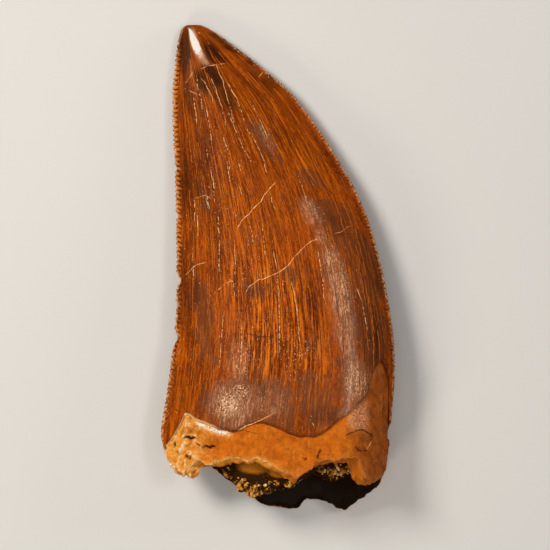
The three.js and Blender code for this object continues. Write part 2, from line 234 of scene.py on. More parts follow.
# Healed cracks across the crown.
PALE_CRACKS = [
    [(5.6, 25.5), (6.1, 24.7), (7.1, 23.7), (7.9, 22.8), (8.6, 22.2), (8.9, 21.5), (9.4, 20.9), (10.4, 19.8)],
    [(6.7, 33.5), (7.1, 32.8), (8.4, 31.9), (8.8, 31.9), (10.1, 31.3), (10.9, 31), (11.9, 30.2), (12.7, 29.2),
     (13.6, 28.2), (14.1, 27.7)],
    [(10.4, 48.3), (9.2, 49), (7.9, 49.6), (6.6, 50.1), (5.8, 50.6)],
    [(1.9, 5.2), (2.7, 5.1), (3.3, 5.0)],
    [(8.8, 5.9), (8.2, 6.6)],
    [(14.7, 49.2), (15.2, 50.1)],
    [(21.7, 52.9), (22.0, 52.4), (22.3, 52.0)],
]
# Dotted cracks; the first three lines are painted glints along the mesial edge near the tip.
DOTTED_CRACKS_AND_GLINTS = [
    [(5.1, 2.9), (5.7, 3.35), (6.2, 3.85)],
    [(7.6, 4.95), (8.1, 5.4)],
    [(9.0, 6.05), (9.6, 6.65)],
    [(0.6, 0.8), (0.95, 1.2)],
    [(1.8, 2.2), (2.0, 2.4)],
    [(2.3, 33.9), (3.4, 33.1), (4.2, 32.4), (5.1, 32)],
    [(2.2, 34.0), (2.9, 33.6)],
    [(4.6, 31.9), (5.0, 32.1), (5.3, 33.0)],
    [(14.1, 27.7), (14.8, 27.2), (15.4, 26.95), (16.0, 27.1)],
]
FINE_DARK_CRACKS = [
    [(-0.35, 12.9), (-0.1, 14.8), (0.0, 16.6), (0.2, 18.4)],
    [(-1.2, 11.0), (-1.1, 13.5), (-0.95, 16.0)],
    [(-1.0, 16.5), (-0.9, 19), (-0.8, 22)],
    [(1.3, 12.5), (1.6, 15.5), (1.8, 18.5)],
    [(0.6, 18.0), (0.75, 20.5), (0.9, 23)],
    [(0.3, 25), (0.5, 29)],
    [(5.0, 36), (7.2, 35.5), (9.4, 34.2), (10.6, 33.5), (12.4, 33.6)],
    [(10.7, 36), (12.8, 36)],
    [(9.3, 35.1), (10.3, 36.1)],
    [(3.4, 41.1), (4.4, 40.1), (5.1, 39.1), (5.3, 38.2)],
    [(6.9, 38.6), (6.2, 37.4), (6.4, 36.2)],
    [(14.5, 26), (16.8, 26.6), (19.2, 26.2), (20.6, 26.3)],
    [(13.4, 21), (14.0, 22.4), (15.6, 23.2)],
    [(17.6, 41.6), (18.2, 42.4), (18.4, 43.6)],
    [(8.2, 51), (6.4, 50.6), (4.4, 50.7)],
]
FAINT_CRACKS = [
    [(1.0, 5.6), (1.9, 5.2)],
    [(3.3, 5.0), (4.2, 4.9)],
    [(-0.9, 31.4), (0.5, 30.1), (1.7, 29.8)],
    [(0.3, 21.8), (1.7, 21.4), (2.3, 21.9)],
    [(17.7, 26.2), (18.6, 26.0), (19.3, 25.4), (19.7, 25.3)],
    [(-1, 8), (0.6, 8.8)],
    [(-0.9, 7.4), (0.1, 5.9)],
]
DARK_CRACKS = [
    [(-2.25, 48.1), (-1.6, 48.4)],
    [(0.05, 48.4), (0.5, 48.2)],
    [(6.7, 38.6), (8.4, 39), (10.3, 39.1)],
    [(18.9, 51.3), (19.5, 50.9), (20.2, 50.75), (20.9, 50.45), (21.5, 50.7), (22.1, 51.1), (22.6, 51.5)],
    [(20.2, 53.1), (21.8, 53.1)],
]
# Holes in the root, as (across, down, half width, half length, depth).
HOLES = [
    (-0.3, 51.6, 0.9, 0.2, 0.4), (2.1, 52.7, 0.9, 0.18, 0.4), (14, 54, 0.2, 0.2, 0.2),
    (15.5, 54.5, 0.2, 0.15, 0.2),
    (-1.6, 53.5, 0.35, 0.16, 0.4), (-0.6, 54.0, 0.4, 0.18, 0.45), (-2.2, 52.4, 0.16, 0.35, 0.3),
    (20.8, 52.9, 0.8, 0.14, 0.3), (0.75, 52.4, 0.35, 0.1, 0.25),
    (15.8, 53.0, 0.16, 0.24, 0.35), (15.6, 53.7, 0.14, 0.22, 0.35),
]

# How finely the surfaces are divided
CROWN_COLUMNS = 140
CROWN_ROWS = 685
CROWN_INNER_ROWS = 12
ROWS_LEVEL = 0.76  # share of the crown's rows that lie straight across from edge to edge
ROOT_COLUMNS = 330
ROOT_INNER_ROWS = 6
ROOT_OUTER_ROWS = 96
ROOT_BREAK_ROWS = 50
ROOT_CAVITY_ROWS = 50
CRUST_COLUMNS = 160
CRUST_BACK_ROWS = 20
CRUST_FRONT_ROWS = 60

# Shares of each edge's length between which its denticles stand
DISTAL_DENTICLES = (0.035, CROWN_SHARE - 0.02)
MESIAL_DENTICLES = (0.1, 0.82)
NOTCH = 0.16  # share of the wave of denticles that lies in the notches
BEAD_FULLNESS = 0.55
FADE_IN = 0.07  # share of the length over which the denticles grow from nothing
FADE_OUT = (-0.02, 0.03)  # before and after the last denticle
WORN_SHORT = 0.12  # how much shorter some denticles are
BROKEN_SHORT = 0.5  # and how much more in the battered stretch of the distal edge
BATTERED = (28, 32, 41, 44)  # where that stretch starts, is at its worst, fades and ends, as down
SLANTED = (12, 20)  # the ribs of the distal edge begin to slant, and slant fully, as down
SMALLER = (12, 18)  # its denticles begin to shrink, and have shrunk to SMALLER_SHARE
SMALLER_SHARE = 0.55
MESIAL_SHARE = 0.6  # height of the mesial denticles
MESIAL_RIBS = 0.5
MESIAL_GROOVE = 0.4
CUT_REACH = 1.1  # how far in from the edge notches and chips move the surface
GROOVE_WIDTH = 0.12
GROOVE_DEPTH = 0.035  # of the groove behind the ribs

# Low relief as layers of noise, each as (reach, scale, octaves, shift)
CROWN_WAVES = [(0.05, (0.35, 0.1225, 0.35), 3, 0.0), (0.018, (1.6, 0.8, 1.6), 2, 3.0)]
RIM_STEPS = [(0.22, 1.1, 2, 0.0), (0.12, 3.3, 2, 5.0)]
BREAK_JAGS = [(0.3, 0.9, 3, 2.0), (0.17, 2.6, 3, 8.0)]
BREAK_GRIT = [(0.10, 3.2, 3, 4.0), (0.14, 1.3, 2, 14.0)]
ROOT_WAVES = [(0.12, (0.55, 0.275, 0.55), 3, 6.0), (0.05, 2.2, 3, 9.0)]
CRUST_LUMPS = [(0.55, 0.7, 3, 3.0), (0.25, 2.2, 2, 7.0), (0.12, 5.0, 2, 11.0)]
LUMP_NOISE = (1.5, 3, 17.0)  # of the crumbled left end of the root
CRUMB_NOISE = (2.8, 2, 12.0)
LUMP_HEIGHT = 0.34
CRUMB_HEIGHT = 0.04
PORE_DEPTH = 0.12
PORE_DEPTH_LEFT = 0.32

# Where the hidden inner ends of the crown and the root close, as (across, down)
CROWN_HEART = (10.5, 47.5)
ROOT_HEART = (10.5, 46.5)
LIP_SHARE = 0.35  # share of the crown's inner rows that form its broken lip
EDGE_LENGTH = 57  # about the length of the edges, to turn shares of it into millimetres
GROWTH_WIDTH = 27  # how wide the pattern of the enamel is laid across the crown
RIM_DROP = 0.22  # how far the root's rim lies under the face of the crown

SEED = 7
random_source = random.Random(SEED)


def smoothstep(x, low, high):
    share = np.clip((x - low) / (high - low), 0, 1)
    return share * share * (3 - 2 * share)


def lerp(a, b, share):
    return a + (b - a) * share


def band(x, start, full, fading, end):
    """Rises from 0 at start to 1 at full, and falls from 1 at fading to 0 at end."""
    return smoothstep(x, start, full) * (1 - smoothstep(x, fading, end))


def bell(x, middle, width):
    return np.exp(-(((x - middle) / width) ** 2))


def along(points, x):
    """The value at x of a line through points of (x, value)."""
    table = np.array(points, float)
    return np.interp(x, table[:, 0], table[:, 1])


NOISE_FALL = 0.9
NOISE_STEP = 2.1  # how much finer each octave is than the one before


def noise_at(points, scale, octaves, shift):
    """Smooth seeded noise from about -1 to 1 at each point."""
    moved = np.asarray(points) * scale + shift
    return np.array([noise.fractal(Vector(p), NOISE_FALL, NOISE_STEP, octaves) for p in moved])


def relief(points, layers):
    return sum(reach * noise_at(points, *layer) for reach, *layer in layers)


class EdgeCurve:
    """One cutting edge seen from above: a smooth curve, walked by the share of its length."""

    STEPS = 60  # between two points

    def __init__(self, points):
        ends = np.array([points[0], *points, points[-1]], float)
        step = np.linspace(0, 1, self.STEPS, endpoint=False)[:, None]
        parts = []
        for i in range(len(points) - 1):
            before, first, second, after = ends[i : i + 4]
            leave, arrive = (second - before) / 2, (after - first) / 2
            parts.append(
                (2 * first - 2 * second + leave + arrive) * step**3
                + (3 * second - 3 * first - 2 * leave - arrive) * step**2
                + leave * step
                + first
            )
        self.points = np.vstack([*parts, ends[-1:]])
        pieces = np.linalg.norm(np.diff(self.points, axis=0), axis=1)
        self.length = pieces.sum()
        self.shares = np.concatenate([[0], np.cumsum(pieces)]) / self.length
        slopes = np.gradient(self.points, self.shares, axis=0)
        self.tangents = slopes / np.linalg.norm(slopes, axis=1)[:, None]

    def at(self, share):
        return np.stack([np.interp(share, self.shares, self.points[:, i]) for i in (0, 1)], -1)

    def tangent(self, share):
        return np.stack([np.interp(share, self.shares, self.tangents[:, i]) for i in (0, 1)], -1)


DISTAL = EdgeCurve(DISTAL_EDGE)
MESIAL = EdgeCurve(MESIAL_EDGE)
BREAK_LEFT = np.array(DISTAL_EDGE[-1], float)
BREAK_RIGHT = np.array(MESIAL_EDGE[-1], float)


# The section across the tooth, as in the solids


def taper(down):
    return ((np.maximum(down, 0) + TIP_ROUNDING) / THICKNESS_AT) ** TAPER


def upper_thickness(down):
    return BASE_THICKNESS * UPPER_SHARE * taper(down)


def lower_thickness(down):
    return BASE_THICKNESS * (1 - UPPER_SHARE) * taper(down)


def edge_height(down):
    tip_lift = TIP_LIFT * np.clip(1 - down / TIP_LIFT_END, 0, 1) ** 2
    base_lift = BASE_LIFT * np.clip((down - BASE_LIFT_START) / BASE_LIFT_REACH, 0, 1) ** 2
    return lower_thickness(down) - FLAT_DEPTH + tip_lift + base_lift


def swell(u, crest, fullness):
    """Rises from 0 at either edge to 1 at the crest. u runs from the distal edge to the mesial edge."""
    to_crest = np.where(u < crest, u / crest, (1 - u) / (1 - crest))
    return 1 - (1 - to_crest) ** fullness


def height_at(u, down, upper, drop):
    upper_crest = lerp(UPPER_CREST_TIP, UPPER_CREST_BASE, smoothstep(down, 0, CREST_SETTLED))
    above = upper_thickness(down) * swell(u, upper_crest, UPPER_FULLNESS) - drop
    below = lower_thickness(down) * swell(u, LOWER_CREST, LOWER_FULLNESS) - drop
    middle = edge_height(down)
    return np.where(upper, middle + above, np.maximum(0, middle - below))


def chip_depth(down):
    depth = np.zeros_like(down)
    for at, reach, deep in CHIPS:
        depth += deep * (1 - smoothstep(np.abs(down - at), 0, reach))
    return depth


def outline_point(share, u, turn):
    """A point of the outer surface in plan, without denticles, and the width of the tooth there."""
    left, right = DISTAL.at(share), MESIAL.at(share)
    plan = lerp(left, right, u[:, None])
    end = lerp(BREAK_LEFT[None], BREAK_RIGHT[None], u[:, None])
    upper = np.sin(turn) >= 0
    broken = np.where(upper, along(UPPER_BREAK, end[:, 0]), along(LOWER_BREAK, end[:, 0]))
    plan[:, 1] += smoothstep(share, 0.8, 1) * (broken - end[:, 1])
    return plan, np.linalg.norm(right - left, axis=1), upper


def enamel_end(across, upper):
    """How far down the enamel reaches, with the small steps of its broken rim."""
    end = np.where(upper, along(UPPER_ENAMEL_END, across), along(LOWER_ENAMEL_END, across))
    places = np.stack([across, np.where(upper, 0.0, 9.0), np.zeros_like(across)], -1)
    return end + relief(places, RIM_STEPS)


EVENNESS = 0.45
EVEN_FROM = (0.68, 0.77)


def dense_at_edges(turn, share):
    """Where a column stands between the two edges, from 0 to 1, the same at every share."""
    return (1 - np.cos(turn)) / 2


def evener_lower_down(turn, share):
    """As dense_at_edges, but more evenly spread towards the root."""
    even = np.where(turn <= math.pi, turn / math.pi, 2 - turn / math.pi)
    return lerp(dense_at_edges(turn, share), even, EVENNESS * smoothstep(share, *EVEN_FROM))


HALVINGS = 22


def enamel_end_share(turn, spread):
    """The share of the edges' length at which each column ends, the same for all columns close to an edge."""
    low, high = np.full_like(turn, 0.5), np.ones_like(turn)
    for _ in range(HALVINGS):
        middle = (low + high) / 2
        u = spread(turn, middle)
        plan, _, upper = outline_point(middle, u, turn)
        past = plan[:, 1] > enamel_end(plan[:, 0], upper)
        high = np.where(past, middle, high)
        low = np.where(past, low, middle)
    for edge in (0, 1):
        at_edge = middle[np.argmin(np.abs(u - edge))]
        middle = lerp(at_edge, middle, smoothstep(np.abs(u - edge), 0.006, 0.03))
    return middle


# The serrated edges


def edge_relief(share, u, width, down, props):
    """How far the denticles and chips cut each point inwards and how much they thin or thicken it."""
    size = np.zeros((len(u), 2))
    swelling = np.zeros(len(u))
    ribs = np.zeros(len(u))
    for curve, distance, inward, chipped in (
        (DISTAL, u * width, 1, True),
        (MESIAL, (1 - u) * width, -1, False),
    ):
        first, last = DISTAL_DENTICLES if chipped else MESIAL_DENTICLES
        worn = band(share, first, first + FADE_IN, last + FADE_OUT[0], last + FADE_OUT[1])
        chip = chip_depth(down) if chipped else np.zeros_like(down)
        kept = 1 - 0.6 * smoothstep(chip, 0.05, 0.3)
        slant = -props.rib_slant * smoothstep(down, *SLANTED) if chipped else 0.0
        reach = props.rib_length * (1.0 if chipped else MESIAL_RIBS)
        pitch = props.denticle_pitch if chipped else props.mesial_pitch
        place = (share * curve.length + slant * distance) / pitch
        wave = np.abs(np.sin(math.pi * place))
        bead = np.clip((wave - NOTCH) / (1 - NOTCH), 0, 1) ** BEAD_FULLNESS
        number = np.floor(place)
        uneven = 0.85 + 0.3 * np.sin(2.4 * number) * np.sin(7.1 * number)
        ragged = band(down, *BATTERED) * (1.0 if chipped else 0.0)
        short = (WORN_SHORT + BROKEN_SHORT * ragged) * (0.5 + 0.5 * np.sin(5.3 * number + 1.0))
        size_share = lerp(1.0, SMALLER_SHARE, smoothstep(down, *SMALLER)) if chipped else MESIAL_SHARE
        cut = props.denticle_height * size_share * (1 - bead * (1 - short)) * worn * kept + chip
        tangent = curve.tangent(share)
        fall = 1 - smoothstep(distance, 0, CUT_REACH)
        size += np.stack([tangent[:, 1], -tangent[:, 0]], -1) * (inward * cut * fall)[:, None]
        rim = props.rim_radius
        quarter = np.sqrt(np.clip(1 - (1 - np.minimum(distance / rim, 1)) ** 2, 0, 1))
        swelling += rim * quarter * (1 - smoothstep(distance, rim, 5 * rim)) * smoothstep(share, 0, 0.05)
        rib = (bead * (1 - short) - 0.5) * band(distance, 0.0, 0.1, 0.45 * reach, reach * uneven) * worn
        swelling += props.rib_relief * rib
        groove = bell(distance, 1.15 * reach, GROOVE_WIDTH) * worn * (1.0 if chipped else MESIAL_GROOVE)
        swelling -= GROOVE_DEPTH * groove
        ribs += np.clip(rib, -0.45, 0.55)
    return size, swelling, ribs


# Lofts: a ball whose rings are laid along the tooth


def ball_mesh(name, columns, rows):
    """A closed ball, with the ring number and the turn of each of its vertices."""
    shape = bmesh.new()
    bmesh.ops.create_uvsphere(shape, u_segments=columns, v_segments=rows, radius=1)
    mesh = bpy.data.meshes.new(name)
    shape.to_mesh(mesh)
    shape.free()
    points = np.zeros(len(mesh.vertices) * 3, np.float32)
    mesh.vertices.foreach_get("co", points)
    x, y, z = points.reshape(-1, 3).astype(float).T
    ring = np.rint(np.arccos(np.clip(z, -1, 1)) / math.pi * rows).astype(int)
    pole = (ring == 0) | (ring == rows)
    turn = np.where(pole, 0, np.mod(np.arctan2(y, x), 2 * math.pi))
    turn = np.where(turn > 2 * math.pi - 1e-4, 0, turn)
    return mesh, ring, turn


def to_row_frame(across, down, height):
    return np.stack([across - ACROSS_MIDDLE, DOWN_MIDDLE - down, height], -1) * MM


def place_vertices(mesh, points):
    mesh.vertices.foreach_set("co", points.astype(np.float32).ravel())
    mesh.update()


def vertex_normals(mesh):
    normals = np.zeros(len(mesh.vertices) * 3, np.float32)
    mesh.vertex_normals.foreach_get("vector", normals)
    return normals.reshape(-1, 3).astype(float)


def give_attribute(mesh, name, *values):
    """Stores one value, or a vector of three, for each vertex, for a material to read."""
    kind, field = ("FLOAT", "value") if len(values) == 1 else ("FLOAT_VECTOR", "vector")
    made = mesh.attributes.new(name, kind, "POINT")
    made.data.foreach_set(field, np.stack(values, -1).astype(np.float32).ravel())


def finished_piece(mesh, material, node, smooth=True):
    """Links the piece, gives it its material, hangs it on the body it rides on and hides the solid it stands
    for.
    """
    piece = bpy.data.objects.new(mesh.name, mesh)
    bpy.context.scene.collection.objects.link(piece)
    mesh.materials.clear()
    mesh.materials.append(material)
    mesh.polygons.foreach_set("use_smooth", np.full(len(mesh.polygons), smooth))
    mesh.update()
    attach(piece, "root")
    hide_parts(node)
    return piece


PATCH_FADE = (0.25, 1.15)  # shares of a patch's half size between which it fades


def patch_strength(patches, across, down):
    """How strongly the nearest of the listed patches shows at each point."""
    strength = np.zeros_like(across)
    for x, y, wide, long, lean, most in patches:
        sideways = across - x - lean * (down - y)
        reach = np.sqrt((sideways / wide) ** 2 + ((down - y) / long) ** 2)
        strength = np.maximum(strength, most * (1 - smoothstep(reach, *PATCH_FADE)))
    return strength


def inside_outline(corners, across, down, softness):
    """1 well inside a convex outline, 0 outside it, and between them near its border."""
    corners = np.array(corners)
    middle = corners.mean(0)
    nearest = np.full_like(across, 1e9)
    for first, second in zip(corners, np.roll(corners, -1, axis=0)):
        along_side = (second - first) / np.linalg.norm(second - first)
        inward = np.array([-along_side[1], along_side[0]])
        inward *= np.sign(inward @ (middle - first))
        nearest = np.minimum(nearest, (across - first[0]) * inward[0] + (down - first[1]) * inward[1])
    return smoothstep(nearest, -softness, softness)


def build_crown(props, material):
    """The enamel crown, which ends in a thin broken rim over the root."""
    rows = CROWN_ROWS + CROWN_INNER_ROWS
    mesh, ring, turn = ball_mesh("crown", CROWN_COLUMNS, rows)
    down_share = np.clip(ring / CROWN_ROWS, 0, 1)
    end_turns, column = np.unique(np.round(turn, 5), return_inverse=True)
    end_share = enamel_end_share(end_turns, evener_lower_down)[column]
    level = end_share.min() - 0.01
    share = level * np.minimum(down_share / ROWS_LEVEL, 1)
    share += (end_share - level) * np.clip((down_share - ROWS_LEVEL) / (1 - ROWS_LEVEL), 0, 1)
    u = evener_lower_down(turn, share)
    u = np.where((ring == 0) | (ring == rows), 0, u)
    plan, width, upper = outline_point(share, u, turn)
    cut, swelling, ribs = edge_relief(share, u, width, plan[:, 1], props)
    plan = plan + cut
    side = np.where(upper, 1.0, -1.0)
    height = height_at(u, plan[:, 1], upper, 0) + side * swelling
    height = np.where(upper, height, np.maximum(height, 0))

    inwards = np.clip((ring - CROWN_ROWS) / CROWN_INNER_ROWS, 0, 1)
    middle = edge_height(plan[:, 1])
    lip = smoothstep(inwards, 0, LIP_SHARE)
    height = height - side * lip * np.minimum(1.5 * props.enamel_thickness, np.abs(height - middle))
    plan[:, 1] += 0.05 * np.sin(math.pi * np.clip(inwards / LIP_SHARE, 0, 1))
    closing = smoothstep(inwards, 0.3, 1)
    plan = lerp(plan, np.array(CROWN_HEART), closing[:, None])
    height = lerp(height, middle, closing)

    place_vertices(mesh, to_row_frame(plan[:, 0], plan[:, 1], height))
    across, down = plan.T
    places = np.stack([across, down, height], -1)
    off_edge = smoothstep(np.minimum(u, 1 - u) * width, 0.2, 2.5)
    waves = relief(places, CROWN_WAVES)
    flatter = np.where(upper, 1.0, smoothstep(height, 0.02, 0.5))
    outside = 1 - smoothstep(inwards, 0, 0.2)
    for x, y, radius, rise in BULGES:
        waves += upper * rise * np.exp(-(((across - x) ** 2 + (down - y) ** 2) / radius**2))
    raised = waves * off_edge * flatter * outside * smoothstep(down, 1, 5)
    base = to_row_frame(across, down, height)
    place_vertices(mesh, base + vertex_normals(mesh) * (raised * MM)[:, None])

    edge = np.minimum(u, 1 - u) * width
    rim_end = np.clip((end_share - share) * EDGE_LENGTH, 0, 9)
    give_attribute(mesh, "growth", u * GROWTH_WIDTH, down, height)
    give_attribute(
        mesh,
        "tones",
        patch_strength(SATIN_SHEEN_PATCHES, across, down) * upper,
        patch_strength(DARK_PATCHES, across, down),
        patch_strength(PALE_HIGHLIGHT_PATCHES, across, down) * np.where(upper, 1, 0.4),
    )
    give_attribute(mesh, "facet", inside_outline(TIP_FACET, across, down, 0.3) * upper)
    give_attribute(
        mesh,
        "surfaces",
        patch_strength(FIBROUS_PATCHES, across, down),
        patch_strength(PATINA_PATCHES, across, down),
        patch_strength(GLINT_PATCHES, across, down) * upper,
    )
    give_attribute(mesh, "details", np.clip(ribs * 1.2 + 0.5, 0, 1), edge, rim_end)
    return finished_piece(mesh, material, "tooth")


# The root, its broken end and the pulp cavity

HALF_WIDTH = (BREAK_RIGHT[0] - BREAK_LEFT[0]) / 2
ROOF_ACROSS = BREAK_LEFT[0] + HALF_WIDTH
ROOF_DOWN = float(along(UPPER_BREAK, ROOF_ACROSS)) - CAVITY_DEPTH
ROOF_HEIGHT = BASE_THICKNESS / 2


CAVITY_BLUNTNESS = 2.4


def rim_point(turn, drop=RIM_DROP):
    """The outer rim of the broken root."""
    u = (1 - np.cos(turn)) / 2
    plan, _, upper = outline_point(np.ones_like(turn), u, turn)
    offset = drop * smoothstep(np.minimum(u, 1 - u), 0, 0.05)
    return np.stack([plan[:, 0], plan[:, 1], height_at(u, plan[:, 1], upper, offset)], -1)


def cavity_point(turn, depth, inset):
    rim = rim_point(turn)
    closing = np.sqrt(np.maximum(0, 1 - depth**CAVITY_BLUNTNESS))
    wide = closing * (1 - (WALL + inset) / HALF_WIDTH)
    thick = closing * (1 - (WALL + inset) / ROOF_HEIGHT)
    return np.stack(
        [
            lerp(ROOF_ACROSS, rim[:, 0], wide),
            lerp(rim[:, 1] + BREAK_SLOPE * np.sin(turn), ROOF_DOWN + inset, depth),
            lerp(ROOF_HEIGHT, rim[:, 2], thick),
        ],
        -1,
    )


# How a long hole winds, as (place across, shift down), and where its walls rise, as shares of its half size
HOLE_WINDING = [(-1, -0.175), (-0.4, 0.21), (0.1, -0.105), (0.5, 0.175), (1, -0.14)]
HOLE_WALLS = (0.5, 1.15)


def build_root(props, material):
    """The root of dentine with its broken edge and the walls of the pulp cavity."""
    outer_end = ROOT_INNER_ROWS + ROOT_OUTER_ROWS
    break_end = outer_end + ROOT_BREAK_ROWS
    rows = break_end + ROOT_CAVITY_ROWS
    mesh, ring, turn = ball_mesh("root", ROOT_COLUMNS, rows)
    u = (1 - np.cos(turn)) / 2
    turns, column = np.unique(np.round(turn, 5), return_inverse=True)
    end_share = enamel_end_share(turns, dense_at_edges)[column]
    start = end_share - 0.018
    outer_share = np.clip((ring - ROOT_INNER_ROWS) / ROOT_OUTER_ROWS, 0, 1)
    share = lerp(start, 1.0, outer_share)
    plan, width, upper = outline_point(share, u, turn)
    covered = smoothstep(end_share - share, -0.001, 0.008)
    offset = props.enamel_thickness * smoothstep(np.minimum(u, 1 - u), 0, 0.05) + 0.25 * covered
    height = height_at(u, plan[:, 1], upper, offset)
    sink = 0.3 * covered * (1 - smoothstep(np.minimum(u, 1 - u) * width, 0, 2))
    plan[:, 0] += sink * np.where(u < 0.5, 1, -1)
    points = np.stack([plan[:, 0], plan[:, 1], height], -1)

    inner = np.clip(ring / ROOT_INNER_ROWS, 0, 1)[:, None]
    heart = np.array([*ROOT_HEART, ROOF_HEIGHT - 1])
    points = np.where(ring[:, None] < ROOT_INNER_ROWS, lerp(heart, points, inner), points)

    mouth = cavity_point(turn, np.zeros_like(turn), 0)
    inwards = np.clip((ring - outer_end) / ROOT_BREAK_ROWS, 0, 1)[:, None]
    face = lerp(rim_point(turn, props.enamel_thickness), mouth, inwards)
    points = np.where(ring[:, None] > outer_end, face, points)
    depth = np.clip((ring - break_end) / ROOT_CAVITY_ROWS, 0, 1)
    wall = cavity_point(turn, depth, 0)
    points = np.where(ring[:, None] > break_end, wall, points)

    # The break is rough and its edge jagged, and the dentine near it porous.
    near_break = smoothstep(outer_share, 0.45, 1) * (1 - smoothstep(depth, 0.1, 0.5))
    on_break = np.sin(math.pi * np.clip((ring - outer_end + 12) / (ROOT_BREAK_ROWS + 24), 0, 1))
    calm = smoothstep(points[:, 0], -1.5, 1.5) * 0.8 + 0.2
    points[:, 1] += near_break * calm * relief(points, BREAK_JAGS) * smoothstep(points[:, 2], 0.1, 0.6)
    place_vertices(mesh, to_row_frame(*points.T))
    across, down, high = points.T
    rough = on_break * relief(points, BREAK_GRIT)
    waves = relief(points, ROOT_WAVES)
    left = 1 - smoothstep(across, -1, 3)
    lumps = noise_at(points, *LUMP_NOISE)
    crumbs = noise_at(points, *CRUMB_NOISE)
    pores = np.minimum(0, crumbs + 0.15) * lerp(PORE_DEPTH, PORE_DEPTH_LEFT, left)
    pores += left * (LUMP_HEIGHT * lumps + CRUMB_HEIGHT * crumbs)
    bare = (1 - covered) * (ring > ROOT_INNER_ROWS)
    # Painted highlights, stored as the rim attribute: the edge of the break, bands under and beside the
    # enamel, and the tops of the lumps on the left.
    below_enamel = down - enamel_end(across, upper)
    under_enamel = 1.6 * bell(below_enamel, 0.35, 0.4) * bare * band(across, -0.5, 0.9, 4.0, 5.4)
    beside_enamel = 0.6 * bell(below_enamel, 0.3, 0.5) * bare * band(across, 21.3, 21.7, 23.4, 24)
    on_lumps = 1.35 * left * smoothstep(lumps + 0.5 * crumbs, 0.0, 0.5)
    rim = np.maximum(bell(ring, outer_end + 2, 5.0), np.maximum(beside_enamel, under_enamel))
    rim = np.maximum(rim, on_lumps)
    honeyed = bell(ring, outer_end + 14, 16.0) * (1 - smoothstep(across, 10.5, 12.5))
    give_attribute(mesh, "honeyed", honeyed * upper)
    give_attribute(mesh, "rim", rim * upper)
    flatter = np.where(upper, 1.0, smoothstep(high, 0.02, 0.5))
    raised = (rough + (waves + pores) * bare) * flatter
    # The holes are dug in and painted dark as shade.
    hole_shade = np.zeros_like(across)
    for x, y, wide, long, deep in HOLES:
        winding = down - y + along(HOLE_WINDING, across - x)
        reach = np.sqrt(((across - x) / wide) ** 2 + (winding / long) ** 2) + 0.5 * crumbs
        hole = (1 - smoothstep(reach, *HOLE_WALLS)) * upper * (ring <= outer_end)
        raised -= deep * hole
        hole_shade = np.maximum(hole_shade, hole)
    base = to_row_frame(*points.T)
    final = base + vertex_normals(mesh) * (raised * MM)[:, None]
    final[:, 2] = np.maximum(final[:, 2], 0)
    place_vertices(mesh, final)

    give_attribute(mesh, "growth", *points.T)
    # Painted shade: the cavity's walls and the lower wall's break face are painted almost black, and the
    # hollows between the lumps on the left dark.
    inside = np.maximum(smoothstep(depth, 0.0, 0.15), (ring > outer_end) * ~upper)
    hole_shade = np.maximum(hole_shade, 0.45 * left * bare * smoothstep(-lumps, 0.3, 0.6))
    give_attribute(mesh, "details", hole_shade, np.clip(on_break * (ring > outer_end - 3), 0, 1), inside)
    return finished_piece(mesh, material, "tooth")


# The crust of crystals

GRAINS = 3000
TRIES = 5  # for each grain
SPREAD = (0.04, 0.95)  # shares of the way to the middle of the crust between which grains sit
LEAST_TINT = 0.1
SCATTER = 0.08
# Outside the groups the crust and its grains are dark, partly dark crystal and partly painted shade of the
# deep cavity.
GROUND_TINT = 0.04
TINT_GAIN = 1.8
OUTWARDS = (0, -1, 0.5)
OUT_BY_SIZE = 0.25
OUT_BY_TINT = 0.8
GRAIN_SIZES = (0.07, 0.17)
BIGGER_BY = 0.2  # how much the largest grains of the groups outgrow the others
ROUND_SHARE = 0.35
# The palest grains are painted cream as sparkling highlights.
SPARKLE_TINT = 1.4  # the tint of the few palest grains
SPARKLE_SHARE = 0.14


def crust_front(turn, to_middle):
    point = cavity_point(turn, np.full_like(turn, CRUST_MARGIN), CRUST_GAP)
    across = lerp(point[:, 0], ROOF_ACROSS, to_middle)
    down = lerp(point[:, 1], along(CRUST_FRONT, across), smoothstep(to_middle, 0, 0.5))
    return np.stack([across, down, lerp(point[:, 2], ROOF_HEIGHT, to_middle)], -1)


# Groups of large bright crystals, as (across, down, radius, tint), where tint runs from honey to bright gold.
CRYSTAL_GROUPS = [
    (4.4, 56, 0.7, 0.5), (6.2, 57.0, 0.7, 1.0), (7.6, 58.0, 0.9, 1.0), (9.3, 57.2, 0.9, 0.75),
    (10.4, 56.8, 0.5, 0.6), (12.1, 56.7, 0.6, 1.0), (16.6, 55.0, 1.0, 0.6), (18.2, 55.1, 1.4, 0.85),
    (19.8, 55.6, 1.3, 0.9), (20.9, 56.5, 0.8, 0.9),
]
# Bare honey-coloured plates of the crust, in the form of the tone patches.
HONEY_PLATES = [(7.6, 55.2, 2.6, 1.1, 0.15, 0.48), (10.6, 56, 1.4, 0.7, 0.4, 0.45)]


def grain_tint(across, down):
    tint = LEAST_TINT
    for x, y, radius, most in CRYSTAL_GROUPS:
        reach = math.hypot(across - x, down - y) / radius
        tint = max(tint, most * (1 - max(0.0, reach - 0.6)))
    return tint


def grain_places():
    """Where grains sit and their tints: close together in the groups, sparse between them."""
    tries = TRIES * GRAINS
    turns = np.array([random_source.uniform(0, 2 * math.pi) for _ in range(tries)])
    to_middles = np.array([random_source.uniform(*SPREAD) for _ in range(tries)])
    kept = []
    places = crust_front(turns, to_middles)
    bare = patch_strength(HONEY_PLATES, places[:, 0], places[:, 1])
    for at, bareness in zip(places, bare):
        tint = grain_tint(at[0], at[1])
        if random_source.random() < tint + SCATTER - bareness and len(kept) < GRAINS:
            kept.append((at, tint))
    return kept


def grain_shapes():
    """A rounded and a square grain of unit size."""
    shapes = []
    for name in ("round_grain", "square_grain"):
        shape = bmesh.new()
        if name == "round_grain":
            bmesh.ops.create_icosphere(shape, subdivisions=1, radius=1)
        else:
            bmesh.ops.create_cube(shape, size=1.4)
        mesh = bpy.data.meshes.new(name)
        shape.to_mesh(mesh)
        shape.free()
        shapes.append(mesh)
    return shapes


